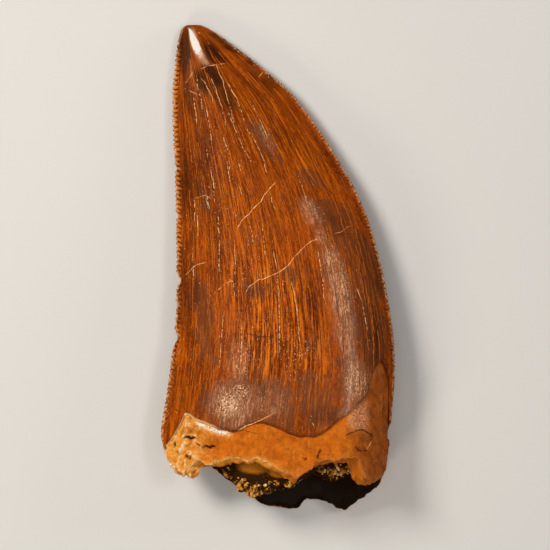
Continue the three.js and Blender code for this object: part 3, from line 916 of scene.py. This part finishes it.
def build_crust(material):
    """The crust that fills the pulp cavity, set with small crystals."""
    rows = CRUST_BACK_ROWS + CRUST_FRONT_ROWS
    mesh, ring, turn = ball_mesh("crystal_crust", CRUST_COLUMNS, rows)
    back = np.clip(1 - (1 - CRUST_MARGIN) * ring / CRUST_BACK_ROWS, CRUST_MARGIN, 1)
    points = cavity_point(turn, back, CRUST_GAP)
    to_middle = np.clip((ring - CRUST_BACK_ROWS) / CRUST_FRONT_ROWS, 0, 1)
    points = np.where(ring[:, None] > CRUST_BACK_ROWS, crust_front(turn, to_middle), points)
    front = smoothstep(to_middle, 0.02, 0.25)
    points[:, 1] += front * relief(points, CRUST_LUMPS)
    places = [to_row_frame(*points.T)]
    tints = [GROUND_TINT + patch_strength(HONEY_PLATES, points[:, 0], points[:, 1])]

    shape = bmesh.new()
    shape.from_mesh(mesh)
    shapes = grain_shapes()
    corners = [np.array([vertex.co for vertex in one.vertices]) for one in shapes]
    for at, tint in grain_places():
        kind = 0 if random_source.random() < ROUND_SHARE else 1
        shape.from_mesh(shapes[kind], face_normals=False, vertex_normals=False)
        size = random_source.uniform(*GRAIN_SIZES)
        size += BIGGER_BY * max(0, tint - 0.3) * random_source.random() ** 2
        wobble = [random_source.uniform(0.7, 1.25) for _ in range(3)]
        turned = np.array(Euler([random_source.uniform(0, math.pi) for _ in range(3)]).to_matrix())
        out = OUT_BY_SIZE * size + OUT_BY_TINT * tint * random_source.random()
        place = to_row_frame(*at) + np.array(OUTWARDS) * (out * MM)
        places.append(place + (corners[kind] * wobble * size * MM) @ turned.T)
        own = min(1.0, TINT_GAIN * tint * random_source.random() ** 2)
        if random_source.random() < SPARKLE_SHARE * tint:
            own = SPARKLE_TINT
        tints.append(np.full(len(corners[kind]), own))
    shape.to_mesh(mesh)
    shape.free()
    for one in shapes:
        bpy.data.meshes.remove(one)
    place_vertices(mesh, np.vstack(places))
    give_attribute(mesh, "tint", np.concatenate(tints))
    return finished_piece(mesh, material, "cavity_crust", smooth=False)


# Lines on the crown and the root

VEIN_SHADE_SHIFT = 0.1
GROWTH_ACROSS = (0.06, 0.94)
GROWTH_FIRST = (0.08, 0.76)  # share of the edges' length at which a growth line starts
GROWTH_LENGTH = (0.03, 0.11)
LINE_STEP = 0.07
WANDER = [(0.13, 1.1, 0), (0.05, 4, 4)]  # reach, pace and place in the noise
ABOVE_TOOTH = 30.0
SUNK_SHARE = 0.55  # share of its radius by which a line lies in the surface
LEAST_RADIUS = 0.55
NOISE_RADIUS = 0.9
CHANCE_RADIUS = 0.35
END_TAPER = 0.5


def line_splines(points, surface, radius, gap, beads, seed):
    """The stretches of one line laid on the surface, as lists of (place, radius)."""
    source = random.Random(seed)
    line = np.array(points, float)
    pieces = np.linalg.norm(np.diff(line, axis=0), axis=1)
    length = np.concatenate([[0], np.cumsum(pieces)])
    steps = np.arange(0, length[-1], LINE_STEP)
    stretches, stretch = [], []
    for step in steps:
        across = np.interp(step, length, line[:, 0])
        down = np.interp(step, length, line[:, 1])
        for reach, pace, level in WANDER:
            across += reach * noise.noise(Vector((step * pace, seed, level)))
        shown = noise.noise(Vector((step * beads, seed * 3.1, 9))) * 0.5 + 0.5
        start = Vector(to_row_frame(across, down, ABOVE_TOOTH))
        place, normal, _, _ = surface.ray_cast(start, Vector((0, 0, -1)))
        if shown < gap or place is None:
            if len(stretch) > 1:
                stretches.append(stretch)
            stretch = []
            continue
        thick = radius * (LEAST_RADIUS + NOISE_RADIUS * shown + CHANCE_RADIUS * source.random())
        ends = min(1.0, 0.3 + min(step, length[-1] - step) / END_TAPER)
        stretch.append((place - normal * (SUNK_SHARE * thick * ends * MM), thick * ends))
    if len(stretch) > 1:
        stretches.append(stretch)
    return stretches


def beside(lines):
    """The lines moved a little to the left, for a painted shade line beside a vein."""
    return [[(across - VEIN_SHADE_SHIFT, down) for across, down in line] for line in lines]


def growth_lines(count, seed):
    """Short lines at seeded places of the crown's upper face, which follow its growth."""
    source = random.Random(seed)
    lines = []
    for _ in range(count):
        u = source.uniform(*GROWTH_ACROSS)
        first = source.uniform(*GROWTH_FIRST)
        shares = np.linspace(first, first + source.uniform(*GROWTH_LENGTH), 6)
        lines.append(lerp(DISTAL.at(shares), MESIAL.at(shares), u))
    return lines


def build_lines(name, lines, surface, radius, gap, beads, material):
    """Fine rounded lines that lie in the surface, as one closed piece."""
    curve = bpy.data.curves.new(name + "_curve", "CURVE")
    curve.dimensions = "3D"
    curve.bevel_depth = MM
    curve.bevel_resolution = 0
    curve.use_fill_caps = True
    for number, line in enumerate(lines):
        for stretch in line_splines(line, surface, radius, gap, beads, number + 1):
            spline = curve.splines.new("POLY")
            spline.points.add(len(stretch) - 1)
            for point, (place, thick) in zip(spline.points, stretch):
                point.co = (*place, 1)
                point.radius = thick
    holder = bpy.data.objects.new(name + "_holder", curve)
    bpy.context.scene.collection.objects.link(holder)
    bpy.context.view_layer.update()
    evaluated = holder.evaluated_get(bpy.context.evaluated_depsgraph_get())
    mesh = bpy.data.meshes.new_from_object(evaluated)
    mesh.name = name
    bpy.data.objects.remove(holder)
    bpy.data.curves.remove(curve)
    return finished_piece(mesh, material, "tooth")


def surface_of(*pieces):
    """The pieces' faces, to lay lines on."""
    points, faces = [], []
    for piece in pieces:
        start = len(points)
        points.extend(v.co.copy() for v in piece.data.vertices)
        faces.extend([start + i for i in p.vertices] for p in piece.data.polygons)
    return BVHTree.FromPolygons(points, faces)


# Materials


class Wiring:
    """Makes and joins the nodes of one material."""

    def __init__(self, name):
        self.material = bpy.data.materials.new(name)
        self.material.use_nodes = True
        self.tree = self.material.node_tree
        self.shader = next(n for n in self.tree.nodes if n.type == "BSDF_PRINCIPLED")

    def node(self, kind, inputs=(), **settings):
        made = self.tree.nodes.new(kind)
        for name, value in settings.items():
            setattr(made, name, value)
        for key, value in dict(inputs).items():
            self.set(made.inputs[key], value)
        return made

    def set(self, socket, value):
        if isinstance(value, bpy.types.NodeSocket):
            self.tree.links.new(value, socket)
        else:
            socket.default_value = value

    def stored(self, name, output="Fac"):
        return self.node("ShaderNodeAttribute", attribute_name=name).outputs[output]

    def channels(self, vector):
        return list(self.node("ShaderNodeSeparateXYZ", {"Vector": vector}).outputs)

    def place(self):
        return self.node("ShaderNodeTexCoord").outputs["Object"]

    def noise(self, vector, scale, detail, roughness, distortion=0.0):
        inputs = {"Vector": vector, "Scale": scale, "Detail": detail, "Roughness": roughness}
        inputs["Distortion"] = distortion
        return self.node("ShaderNodeTexNoise", inputs).outputs["Fac"]

    def patterns(self, vector, table):
        """One noise for each row of a table of (stretch, shift, detail, roughness, distortion)."""
        made = SimpleNamespace()
        for name, (stretch, shift, *settings) in table.items():
            inputs = {"Vector": vector, "Scale": stretch, "Location": shift}
            mapped = self.node("ShaderNodeMapping", inputs).outputs["Vector"]
            setattr(made, name, self.noise(mapped, 1.0, *settings))
        return made

    def between(self, value, low, high, out_low=0.0, out_high=1.0):
        inputs = {"Value": value, "From Min": low, "From Max": high, "To Min": out_low, "To Max": out_high}
        made = self.node("ShaderNodeMapRange", inputs, interpolation_type="SMOOTHSTEP")
        return made.outputs["Result"]

    def math(self, operation, first, second=0.0):
        made = self.node("ShaderNodeMath", operation=operation)
        self.set(made.inputs[0], first)
        self.set(made.inputs[1], second)
        return made.outputs["Value"]

    def product(self, first, *others):
        for other in others:
            first = self.math("MULTIPLY", first, other)
        return first

    def total(self, first, *others):
        for other in others:
            first = self.math("ADD", first, other)
        return first

    def mix(self, share, first, second):
        made = self.node("ShaderNodeMix", data_type="RGBA")
        self.set(made.inputs["Factor"], share)
        for key, value in (("A", first), ("B", second)):
            socket = next(s for s in made.inputs if s.name == key and s.type == "RGBA")
            self.set(socket, value if isinstance(value, bpy.types.NodeSocket) else (*value[:3], 1))
        return next(s for s in made.outputs if s.type == "RGBA")

    def layered(self, body, layers):
        """The colour of the body under layers of (share, colour), the last on top."""
        for share, over in layers:
            body = self.mix(share, body, over)
        return body

    def bump(self, height, distance, strength, normal=None):
        inputs = {"Height": height, "Distance": distance, "Strength": strength}
        if normal is not None:
            inputs["Normal"] = normal
        return self.node("ShaderNodeBump", inputs).outputs["Normal"]

    def finish(self, **values):
        for name, value in values.items():
            self.set(self.shader.inputs[name.replace("_", " ")], value)
        return self.material


WARM_GLOSS = (1.0, 0.86, 0.66, 1.0)

# The noises of the enamel, as (stretch, shift, detail, roughness, distortion). Those with a small second
# stretch run along the growth of the crown.
ENAMEL_PATTERNS = {
    "fibres": ((4.8, 0.27, 0.5), (0, 0, 0), 4.0, 0.6, 0.3),
    "bundles": ((0.8, 0.075, 0.3), (4, 2, 1), 3.0, 0.55, 0.2),
    "threads": ((2.6, 0.085, 0.3), (11, 4, 6), 2.0, 0.55, 0.25),
    "grain": ((9.0, 1.7, 1.0), (9, 5, 3), 3.0, 0.65),
    "clouds": ((0.28, 0.13, 0.3), (3, 8, 1), 3.0, 0.5),
    "blotches": ((0.75, 0.4, 0.5), (13, 2, 5), 5.0, 0.68),
    "breaks": ((1.2, 0.5, 0.5), (1, 1, 7), 4.0, 0.6),
    "speckle": ((6.5, 2.2, 3.0), (2, 6, 4), 3.0, 0.7),
    "combed": ((5.5, 0.5, 1.0), (6, 3, 2), 4.0, 0.65),
    "bits": ((6.0, 4.0, 4.0), (8, 8, 2), 3.0, 0.65),
    "nicks": ((2.0, 2.4, 2.0), (4, 9, 3), 3.0, 0.7),
    "scratches": ((6, 4, 1), (5, 1, 2), 5.0, 0.75),
    "pits": ((6.0, 3.5, 3.0), (7, 7, 7), 4.0, 0.7),
}
FIBRE_RELIEF = 0.00006  # in metres, as all bump distances are
PIT_RELIEF = 0.00006


def enamel_material(props):
    """Glossy fibrous enamel, with its film, stains, ribs and broken rim, satin patches with a painted sheen,
    painted highlights and glints, and a worn tip painted white as a highlight.
    """
    made = Wiring("enamel")
    between, product, total = made.between, made.product, made.total
    growth = made.stored("growth", "Vector")
    satin_sheen, dark, pale = made.channels(made.stored("tones", "Vector"))
    ribs, edge, rim_end = made.channels(made.stored("details", "Vector"))
    fibrous, patina, glinting = made.channels(made.stored("surfaces", "Vector"))
    across, down, _ = made.channels(growth)
    noises = made.patterns(growth, ENAMEL_PATTERNS)

    # Fibres, bundles of them and the fine threads between.
    contrast = between(fibrous, 0.0, 0.9, 0.42, 1.0)
    in_bundles = between(noises.bundles, 0.34, 0.6, 0.3, 1.0)
    bright = product(between(noises.fibres, 0.52, 0.58), contrast, in_bundles)
    thread = between(made.math("ABSOLUTE", made.math("SUBTRACT", noises.threads, 0.5)), 0.022, 0.004)
    furrows = product(between(noises.fibres, 0.50, 0.40, 0, 0.92), contrast)

    # The dull film, the dark stains, and the satin patches, which are duller and more pitted and carry a
    # painted sheen: a mauve ground with bright streaks.
    film = between(total(noises.blotches, product(patina, 0.4)), 0.56, 0.70, 0, 0.88)
    film = product(film, between(noises.fibres, 0.62, 0.46, 0.45, 1.0))
    broken = between(noises.breaks, 0.3, 0.62)
    shade = product(broken, 0.55, between(noises.fibres, 0.6, 0.44, 0.25, 1.0))
    shade = product(dark, total(shade, 0.45))
    satin_sheen = product(satin_sheen, between(noises.blotches, 0.36, 0.56, 0.55, 1.0))
    sheen = product(between(noises.speckle, 0.42, 0.56), between(noises.combed, 0.46, 0.56), 0.84)
    sheen = product(satin_sheen, total(sheen, 0.08))

    # Painted shade in tiny pits, and painted tiny glints.
    pit_shade = product(between(noises.bits, 0.47, 0.38), between(glinting, 0.5, 1.3, 0, 0.85))
    glint_specks = total(noises.bits, product(glinting, 0.12))

    # The ribs of the denticles, broken off in places lower down: paler on their tops, partly their own tone
    # and partly a painted highlight, with painted shade in the grooves between them and painted glints along
    # the edges.
    battered = between(down, 27, 32)
    broken_off = product(battered, between(noises.nicks, 0.58, 0.44, 0, 0.8))
    whole = made.math("SUBTRACT", 1.0, broken_off)
    unstained = between(dark, 1.1, 0.35, 0.3, 1.0)
    rib_tone_and_highlight = product(between(edge, 1.2, 0.4), between(ribs, 0.5, 0.95), whole, unstained)
    groove_shade = product(between(edge, 1.2, 0.5), between(ribs, 0.5, 0.1), 0.9)
    edge_glints = product(between(edge, 0.35, 0.1, 0, 0.9), between(noises.nicks, 0.46, 0.58))

    # The worn facet of the tip, painted white as a highlight, which fades in scratches, and a painted
    # highlight along the broken rim on the left.
    fading = between(down, 1.8, 5.4, 0.3, 1.2)
    scratched = made.math("SUBTRACT", product(noises.scratches, 1.7), fading)
    worn = between(total(made.stored("facet"), scratched), 0.88, 1.2)
    at_left = between(across, 7.5, 5.5, 0, 0.8)
    left_rim_highlight = product(between(rim_end, 0.3, 0.08, 0, 0.7), at_left)

    body = made.mix(between(noises.bundles, 0.36, 0.64), props.dark_enamel, props.enamel_colour)
    layers = [
        (between(noises.clouds, 0.38, 0.66, 0, 0.6), props.deep_enamel),
        (bright, props.bright_enamel),
        (product(thread, contrast, 0.75), props.bright_enamel),
        (furrows, props.deep_enamel),
        (between(noises.grain, 0.5, 0.7, 0, 0.45), props.bright_enamel),
        (between(noises.grain, 0.47, 0.31, 0, 0.7), props.deep_enamel),
        (film, props.patina_colour),
        (shade, props.stain_and_shade_colour),
        (product(satin_sheen, 0.68), props.mauve_sheen_colour),
        (sheen, props.sheen_highlight_colour),
        (pit_shade, props.stain_and_shade_colour),
        (between(glint_specks, 0.67, 0.73, 0, 0.85), props.glint_colour),
        (between(glint_specks, 0.77, 0.84, 0, 0.85), props.highlight_colour),
        # Painted highlights of the pale patches.
        (product(pale, total(broken, 0.15)), props.pale_highlight_colour),
        (product(rib_tone_and_highlight, 0.8), props.rib_colour),
        (groove_shade, props.stain_and_shade_colour),
        (edge_glints, props.glint_colour),
        (worn, props.highlight_colour),
        (between(rim_end, 0.5, 0.1, 0, 0.6), props.deep_enamel),
        (left_rim_highlight, props.cream_and_highlight_colour),
    ]

    height = total(product(noises.fibres, 0.6), product(noises.grain, 0.4))
    ridges = made.bump(height, FIBRE_RELIEF, 0.55)
    deeper = product(noises.pits, total(product(satin_sheen, 1.8), 0.8))
    return made.finish(
        Base_Color=made.layered(body, layers),
        Roughness=between(total(product(satin_sheen, 0.35), noises.pits), 0.35, 1.0, 0.2, 0.42),
        Normal=made.bump(deeper, PIT_RELIEF, 0.5, ridges),
        IOR=1.55,
        Specular_Tint=WARM_GLOSS,
        Coat_Weight=0.15,
        Coat_Roughness=0.12,
        Coat_Tint=WARM_GLOSS,
    )


DENTINE_PATTERNS = {
    "clouds": ((0.55, 0.8, 0.6), (0, 0, 0), 4.0, 0.6),
    "fibres": ((2.2, 0.7, 1.5), (3, 3, 3), 4.0, 0.6, 0.3),
    "grit": ((4.5, 4.5, 4.5), (0, 0, 0), 5.0, 0.72),
    "stains": ((1.1, 0.9, 1.0), (7, 5, 3), 4.0, 0.6),
}
GRIT_RELIEF = 0.00018
ROOT_RELIEF = 0.00012


def dentine_material(props):
    """Ochre dentine, browner on the right, with a honey band and dark pores, painted highlights on its broken
    edges and lumps, a painted sheen on the right, and painted shade in its holes and pulp cavity.
    """
    made = Wiring("dentine")
    between, product = made.between, made.product
    place = made.stored("growth", "Vector")
    hole_shade, on_break, inside = made.channels(made.stored("details", "Vector"))
    across, down, _ = made.channels(place)
    noises = made.patterns(place, DENTINE_PATTERNS)
    honeyed = made.stored("honeyed")

    stained = between(noises.stains, 0.44, 0.64, 0.35, 1.0)
    # Painted sheen: a pale mauve patch near the right end of the root.
    root_sheen = product(
        between(across, 18.8, 20),
        between(across, 22.4, 21.2),
        between(down, 46.4, 47.6),
        between(down, 51.2, 49.8),
        between(noises.grit, 0.38, 0.6),
        0.55,
    )
    pores = product(between(noises.grit, 0.43, 0.3), between(across, 0, 5, 0.45, 0.8))
    crumbs = made.mix(between(noises.grit, 0.4, 0.62), props.olive_dentine, props.honey_colour)
    # Painted highlights where the rim attribute is set, the brightest painted white.
    lit = product(
        made.stored("rim"),
        between(across, 13, 8, 0.12, 0.9),
        between(noises.grit, 0.38, 0.52),
        between(noises.clouds, 0.3, 0.6, 0.35, 1.0),
    )
    body = made.mix(between(noises.clouds, 0.35, 0.65), props.dentine_colour, props.bright_dentine)
    layers = [
        (between(across, 18.6, 20.4, 0, 0.9), props.olive_dentine),
        (between(across, 3.5, -1.5, 0, 0.8), props.pale_dentine),
        (between(noises.fibres, 0.54, 0.7, 0, 0.4), props.pale_dentine),
        (product(between(across, 19.5, 23.0), stained), props.brown_dentine),
        (between(noises.stains, 0.46, 0.66, 0, 0.45), props.brown_dentine),
        (root_sheen, props.sheen_highlight_colour),
        (pores, props.dark_dentine),
        (product(on_break, 0.8), crumbs),
        (product(honeyed, between(noises.grit, 0.36, 0.5, 0.3, 0.9)), props.amber_colour),
        (lit, props.cream_and_highlight_colour),
        (between(lit, 0.75, 1.2), props.highlight_colour),
        # Painted shade in the cavity and in the holes.
        (inside, props.cavity_shade_colour),
        (hole_shade, props.stain_and_shade_colour),
    ]

    polished = product(made.math("MAXIMUM", honeyed, between(across, 4, 0)), 0.18)
    return made.finish(
        Base_Color=made.layered(body, layers),
        Roughness=made.math("SUBTRACT", between(noises.grit, 0.3, 0.7, 0.62, 0.38), polished),
        Normal=made.bump(noises.grit, GRIT_RELIEF, 0.8, made.bump(noises.fibres, ROOT_RELIEF, 0.5)),
        Specular_IOR_Level=0.4,
    )


CRYSTAL_GRIT = (2600.0, 4.0, 0.65)  # scale for each metre, detail, roughness
CRYSTAL_RELIEF = 0.00008
LINE_MOTTLE = (2200.0, 3.0, 0.6)
FLOOR_MOTTLE = (30.0, 2.0, 0.5)


def crystal_material(props):
    """Glossy crystals from almost black to gold, after the tint of each grain: the darkest are partly painted
    shade of the deep cavity, and the palest are painted cream as sparkling highlights.
    """
    made = Wiring("crystals")
    tint = made.stored("tint")
    grit = made.noise(made.place(), *CRYSTAL_GRIT)
    body = made.mix(made.between(tint, 0.1, 0.45), props.dark_crystal_and_shade, props.honey_colour)
    layers = [
        (made.between(tint, 0.45, 0.95), props.gold_colour),
        (made.between(grit, 0.5, 0.3, 0, 0.6), props.dark_crystal_and_shade),
        (made.between(tint, 1.1, 1.3), props.cream_and_highlight_colour),
    ]
    return made.finish(
        Base_Color=made.layered(body, layers),
        Roughness=0.16,
        Normal=made.bump(grit, CRYSTAL_RELIEF, 0.5),
        IOR=1.6,
        Specular_IOR_Level=0.8,
    )


def line_material(name, light, dark, roughness):
    """Mottled mineral for the lines."""
    made = Wiring(name)
    mottle = made.noise(made.place(), *LINE_MOTTLE)
    body = made.mix(made.between(mottle, 0.38, 0.62), dark, light)
    return made.finish(Base_Color=body, Roughness=roughness)


def floor_material(props):
    made = Wiring("floor")
    paler = [min(1.0, 1.03 * c) for c in props.floor_colour]
    body = made.mix(made.noise(made.place(), *FLOOR_MOTTLE), props.floor_colour, paler)
    return made.finish(Base_Color=body, Roughness=0.75)


# Settings that a user would change


def colour(name, description, default):
    return FloatVectorProperty(
        name=name, description=description, subtype="COLOR", size=3, min=0, max=1, default=default
    )


def millimetres(name, description, default):
    return FloatProperty(name=name, description=description + ", in millimetres", default=default, min=0)


class ToothSizes(bpy.types.PropertyGroup):
    denticle_pitch: millimetres("Denticle pitch", "Distance from one denticle to the next", 0.59)
    mesial_pitch: millimetres("Mesial pitch", "Distance between the finer denticles of the curved edge", 0.46)
    denticle_height: millimetres("Denticle height", "How far a denticle stands out of the edge", 0.3)
    rib_length: millimetres("Rib length", "How far the ribs behind the denticles run onto the faces", 0.95)
    rib_relief: millimetres("Rib relief", "How far the ribs stand out of the faces", 0.32)
    rib_slant: FloatProperty(name="Rib slant", description="Lean of the ribs towards the root", default=0.6)
    rim_radius: millimetres("Rim radius", "Roundness of the two edges", 0.13)
    enamel_thickness: millimetres("Enamel thickness", "Height of the enamel's broken rim over the root", 0.22)


class ToothColours(bpy.types.PropertyGroup):
    enamel_colour: colour("Enamel", "Middle tone of the crown", (0.41, 0.067, 0.0015))
    dark_enamel: colour("Dark enamel", "Darker bundles of the crown", (0.24, 0.036, 0.0012))
    deep_enamel: colour("Deep enamel", "Grooves between the fibres", (0.11, 0.0145, 0.0008))
    bright_enamel: colour("Bright enamel", "Fibres of the crown", (0.76, 0.178, 0.004))
    patina_colour: colour("Patina", "Dull brown film over the fibres", (0.17, 0.047, 0.015))
    # A painted reflection: the mauve ground of the satin patches' sheen.
    mauve_sheen_colour: colour("Mauve", "Ground of the satin patches", (0.24, 0.072, 0.025))
    # A painted glint colour, for the specks on the crown and along its edges.
    glint_colour: colour("Specks", "Tiny glints of mineral on the crown", (0.95, 0.56, 0.31))
    # Dark stains, also used as painted shade in the grooves, pits and holes.
    stain_and_shade_colour: colour("Stains", "Dark patches", (0.045, 0.010, 0.003))
    # A painted sheen: bright streaks in the satin patches and a pale patch on the root.
    sheen_highlight_colour: colour("Satin", "Worn satin patches along the crest", (1.0, 0.53, 0.29))
    # A painted highlight colour, for the pale patches at the tip and on the bulge.
    pale_highlight_colour: colour("Pale enamel", "Bare tip and broken rim", (0.80, 0.50, 0.30))
    rib_colour: colour("Ribs", "Denticles and their ribs", (0.76, 0.25, 0.030))
    # A painted white highlight: the worn facet, the brightest painted glints and the brightest painted
    # highlights of the root.
    highlight_colour: colour("Worn facet", "Bare facet at the tip", (1.0, 0.93, 0.88))
    dentine_colour: colour("Dentine", "Middle tone of the root", (0.60, 0.125, 0.003))
    bright_dentine: colour("Bright dentine", "Orange band of the root", (0.75, 0.185, 0.005))
    olive_dentine: colour("Olive dentine", "Browner side of the root", (0.56, 0.125, 0.003))
    brown_dentine: colour("Brown dentine", "Stains of the root", (0.30, 0.064, 0.002))
    amber_colour: colour("Amber", "Glassy band along the break", (0.86, 0.36, 0.030))
    pale_dentine: colour("Pale dentine", "Ochre side of the root", (1.0, 0.41, 0.052))
    # Cream used as painted highlights on the root, the enamel's left rim and the palest crystals, and as the
    # cream of the faint cracks.
    cream_and_highlight_colour: colour("Broken rim", "Pale fresh edge of the broken root", (1.0, 0.66, 0.28))
    # Painted shade: the pulp cavity's walls are painted almost black.
    cavity_shade_colour: colour("Cavity", "Stained walls of the pulp cavity", (0.016, 0.008, 0.004))
    dark_dentine: colour("Dark dentine", "Pores and the cavity's walls", (0.10, 0.035, 0.008))
    honey_colour: colour("Honey", "Crystals and the grains of the break", (0.50, 0.160, 0.010))
    gold_colour: colour("Gold", "Brightest crystals", (0.86, 0.39, 0.052))
    # Partly dark crystal, partly painted shade of the deep cavity; also the dark of the dark lines.
    dark_crystal_and_shade: colour("Dark crystals", "Crystals deep in the cavity", (0.035, 0.014, 0.004))
    vein_colour: colour("Veins", "Cream mineral in the fine veins", (1.0, 0.66, 0.31))
    floor_colour: colour("Floor", "The studio's floor", (0.74, 0.73, 0.71))


def line_finishes(colours):
    """The materials of the lines by name."""
    looks = {
        "vein_mineral": (colours.vein_colour, colours.rib_colour, 0.35),
        "crack_mineral": (colours.cream_and_highlight_colour, colours.rib_colour, 0.4),
        "open_crack": (colours.stain_and_shade_colour, colours.dark_crystal_and_shade, 0.7),
        "fibre": (colours.bright_enamel, colours.enamel_colour, 0.3),
    }
    return {name: line_material(name, *look) for name, look in looks.items()}


# The pieces of fine lines, as (name, lines, radius, share left out, how often it breaks, material).
LINE_PIECES = [
    # Painted shade: dark lines beside the veins.
    ("vein_grooves", beside(VEINS), 0.05, 0.25, 1.2, "open_crack"),
    ("bright_vein_grooves", beside(BRIGHT_VEINS), 0.06, 0.25, 1.2, "open_crack"),
    ("veins", VEINS, 0.06, 0.4, 4.2, "vein_mineral"),
    ("bright_veins", BRIGHT_VEINS, 0.068, 0.25, 3.4, "vein_mineral"),
    ("pale_cracks", PALE_CRACKS, 0.075, 0.2, 2.4, "vein_mineral"),
    ("dotted_cracks", DOTTED_CRACKS_AND_GLINTS, 0.085, 0.42, 3.2, "vein_mineral"),
    ("faint_cracks", FAINT_CRACKS, 0.05, 0.2, 1.9, "crack_mineral"),
    ("fine_dark_cracks", FINE_DARK_CRACKS, 0.05, 0.3, 1.9, "open_crack"),
    ("dark_cracks", DARK_CRACKS, 0.1, 0.15, 1.9, "open_crack"),
    ("fine_fibres", growth_lines(150, 5), 0.05, 0.25, 1.6, "fibre"),
    ("fine_furrows", growth_lines(110, 6), 0.04, 0.25, 1.6, "open_crack"),
]


# Operators


class TOOTH_OT_crown(bpy.types.Operator):
    """Builds the enamel crown with its serrated edges"""

    bl_idname = "tooth.crown"
    bl_label = "Crown"

    def execute(self, context):
        build_crown(context.scene.tooth_sizes, enamel_material(context.scene.tooth_colours))
        return {"FINISHED"}


class TOOTH_OT_root(bpy.types.Operator):
    """Builds the broken root and the walls of its pulp cavity"""

    bl_idname = "tooth.root"
    bl_label = "Root"

    def execute(self, context):
        build_root(context.scene.tooth_sizes, dentine_material(context.scene.tooth_colours))
        return {"FINISHED"}


class TOOTH_OT_crust(bpy.types.Operator):
    """Builds the crust of crystals in the pulp cavity"""

    bl_idname = "tooth.crust"
    bl_label = "Crystal crust"

    def execute(self, context):
        build_crust(crystal_material(context.scene.tooth_colours))
        return {"FINISHED"}


class TOOTH_OT_lines(bpy.types.Operator):
    """Lays the mineral veins and the healed cracks on the crown and the root"""

    bl_idname = "tooth.lines"
    bl_label = "Veins and cracks"

    def execute(self, context):
        crown, root = bpy.data.objects.get("crown"), bpy.data.objects.get("root")
        if crown is None or root is None:
            raise RuntimeError("build the crown and the root before their veins and cracks")
        surface = surface_of(crown, root)
        finishes = line_finishes(context.scene.tooth_colours)
        for name, lines, *form, finish in LINE_PIECES:
            build_lines(name, lines, surface, *form, finishes[finish])
        return {"FINISHED"}


# Soft lights, as (name, place, size, power, colour, whether it shows in the gloss).
LIGHTS = [
    ("key", (-0.20, 0.14, 0.26), 0.14, 0.83, (1.0, 0.95, 0.88), False),
    ("fill", (0.05, -0.15, 0.90), 1.00, 2.15, (0.97, 0.98, 1.0), False),
    ("sheen", (0.30, 0.10, 0.62), 0.16, 0.60, (1.0, 0.93, 0.86), True),
    ("glint", (-0.30, 0.20, 0.40), 0.06, 0.08, (1.0, 0.90, 0.76), True),
    ("rim", (0.34, 0.08, 0.11), 0.10, 0.22, (1.0, 0.90, 0.76), False),
    ("corner", (-0.16, -0.26, 0.16), 0.08, 0.28, (1.0, 0.90, 0.74), False),
]
LIGHTS_AIM = (0, 0, 0.005)
WORLD_COLOUR = (0.95, 0.97, 1.0, 1)
WORLD_STRENGTH = 0.05
FLOOR_HALF = 1.5  # in metres
PICTURE_MIDDLE = (10.3125, 31.375)
LENS = 300
CAMERA_DISTANCE = 573  # so that 68.75 mm fill the frame
FRAME_HEIGHT = 3.5  # height of the plane with that scale


class TOOTH_OT_stage(bpy.types.Operator):
    """Builds the pale floor, the soft lights and the camera straight above the tooth"""

    bl_idname = "tooth.stage"
    bl_label = "Stage"

    def execute(self, context):
        scene = context.scene
        shape = bmesh.new()
        bmesh.ops.create_grid(shape, x_segments=1, y_segments=1, size=FLOOR_HALF)
        mesh = bpy.data.meshes.new("floor")
        shape.to_mesh(mesh)
        shape.free()
        floor = bpy.data.objects.new("floor", mesh)
        scene.collection.objects.link(floor)
        mesh.materials.append(floor_material(scene.tooth_colours))
        floor.visible_glossy = False

        for name, place, size, power, tint, glossy in LIGHTS:
            light = bpy.data.lights.new(name, "AREA")
            light.shape = "DISK"
            light.size = size
            light.energy = power
            light.color = tint
            holder = bpy.data.objects.new(name, light)
            scene.collection.objects.link(holder)
            holder.location = place
            holder.visible_glossy = glossy
            holder.rotation_mode = "QUATERNION"
            towards = Vector(LIGHTS_AIM) - Vector(place)
            holder.rotation_quaternion = towards.to_track_quat("-Z", "Y")

        world = bpy.data.worlds.new("studio")
        world.use_nodes = True
        background = world.node_tree.nodes["Background"]
        background.inputs["Color"].default_value = WORLD_COLOUR
        background.inputs["Strength"].default_value = WORLD_STRENGTH
        scene.world = world
        world.cycles_visibility.glossy = False

        camera = bpy.data.cameras.new("camera")
        camera.lens = LENS
        camera.clip_start = 0.01
        holder = bpy.data.objects.new("camera", camera)
        scene.collection.objects.link(holder)
        holder.location = to_row_frame(*PICTURE_MIDDLE, FRAME_HEIGHT + CAMERA_DISTANCE)
        scene.camera = holder
        scene.view_settings.view_transform = "Standard"
        return {"FINISHED"}


class TOOTH_PT_panel(bpy.types.Panel):
    """Lists the tooth's sizes, colours and operators"""

    bl_idname = "TOOTH_PT_panel"
    bl_label = "Fossil Tooth"
    bl_space_type = "VIEW_3D"
    bl_region_type = "UI"
    bl_category = "Tooth"

    def draw(self, context):
        for group in (context.scene.tooth_sizes, context.scene.tooth_colours):
            box = self.layout.box()
            for name in group.__annotations__:
                box.prop(group, name)
        for operator in OPERATORS:
            self.layout.operator(operator.bl_idname)


OPERATORS = [TOOTH_OT_crown, TOOTH_OT_root, TOOTH_OT_crust, TOOTH_OT_lines, TOOTH_OT_stage]
CLASSES = [ToothSizes, ToothColours, *OPERATORS, TOOTH_PT_panel]


def register():
    for each in CLASSES:
        bpy.utils.register_class(each)
    bpy.types.Scene.tooth_sizes = PointerProperty(type=ToothSizes)
    bpy.types.Scene.tooth_colours = PointerProperty(type=ToothColours)


def unregister():
    del bpy.types.Scene.tooth_colours
    del bpy.types.Scene.tooth_sizes
    for each in reversed(CLASSES):
        bpy.utils.unregister_class(each)


def main():
    register()
    bpy.ops.tooth.crown()
    bpy.ops.tooth.root()
    bpy.ops.tooth.crust()
    bpy.ops.tooth.lines()
    bpy.ops.tooth.stage()


if __name__ == "__main__":
    main()
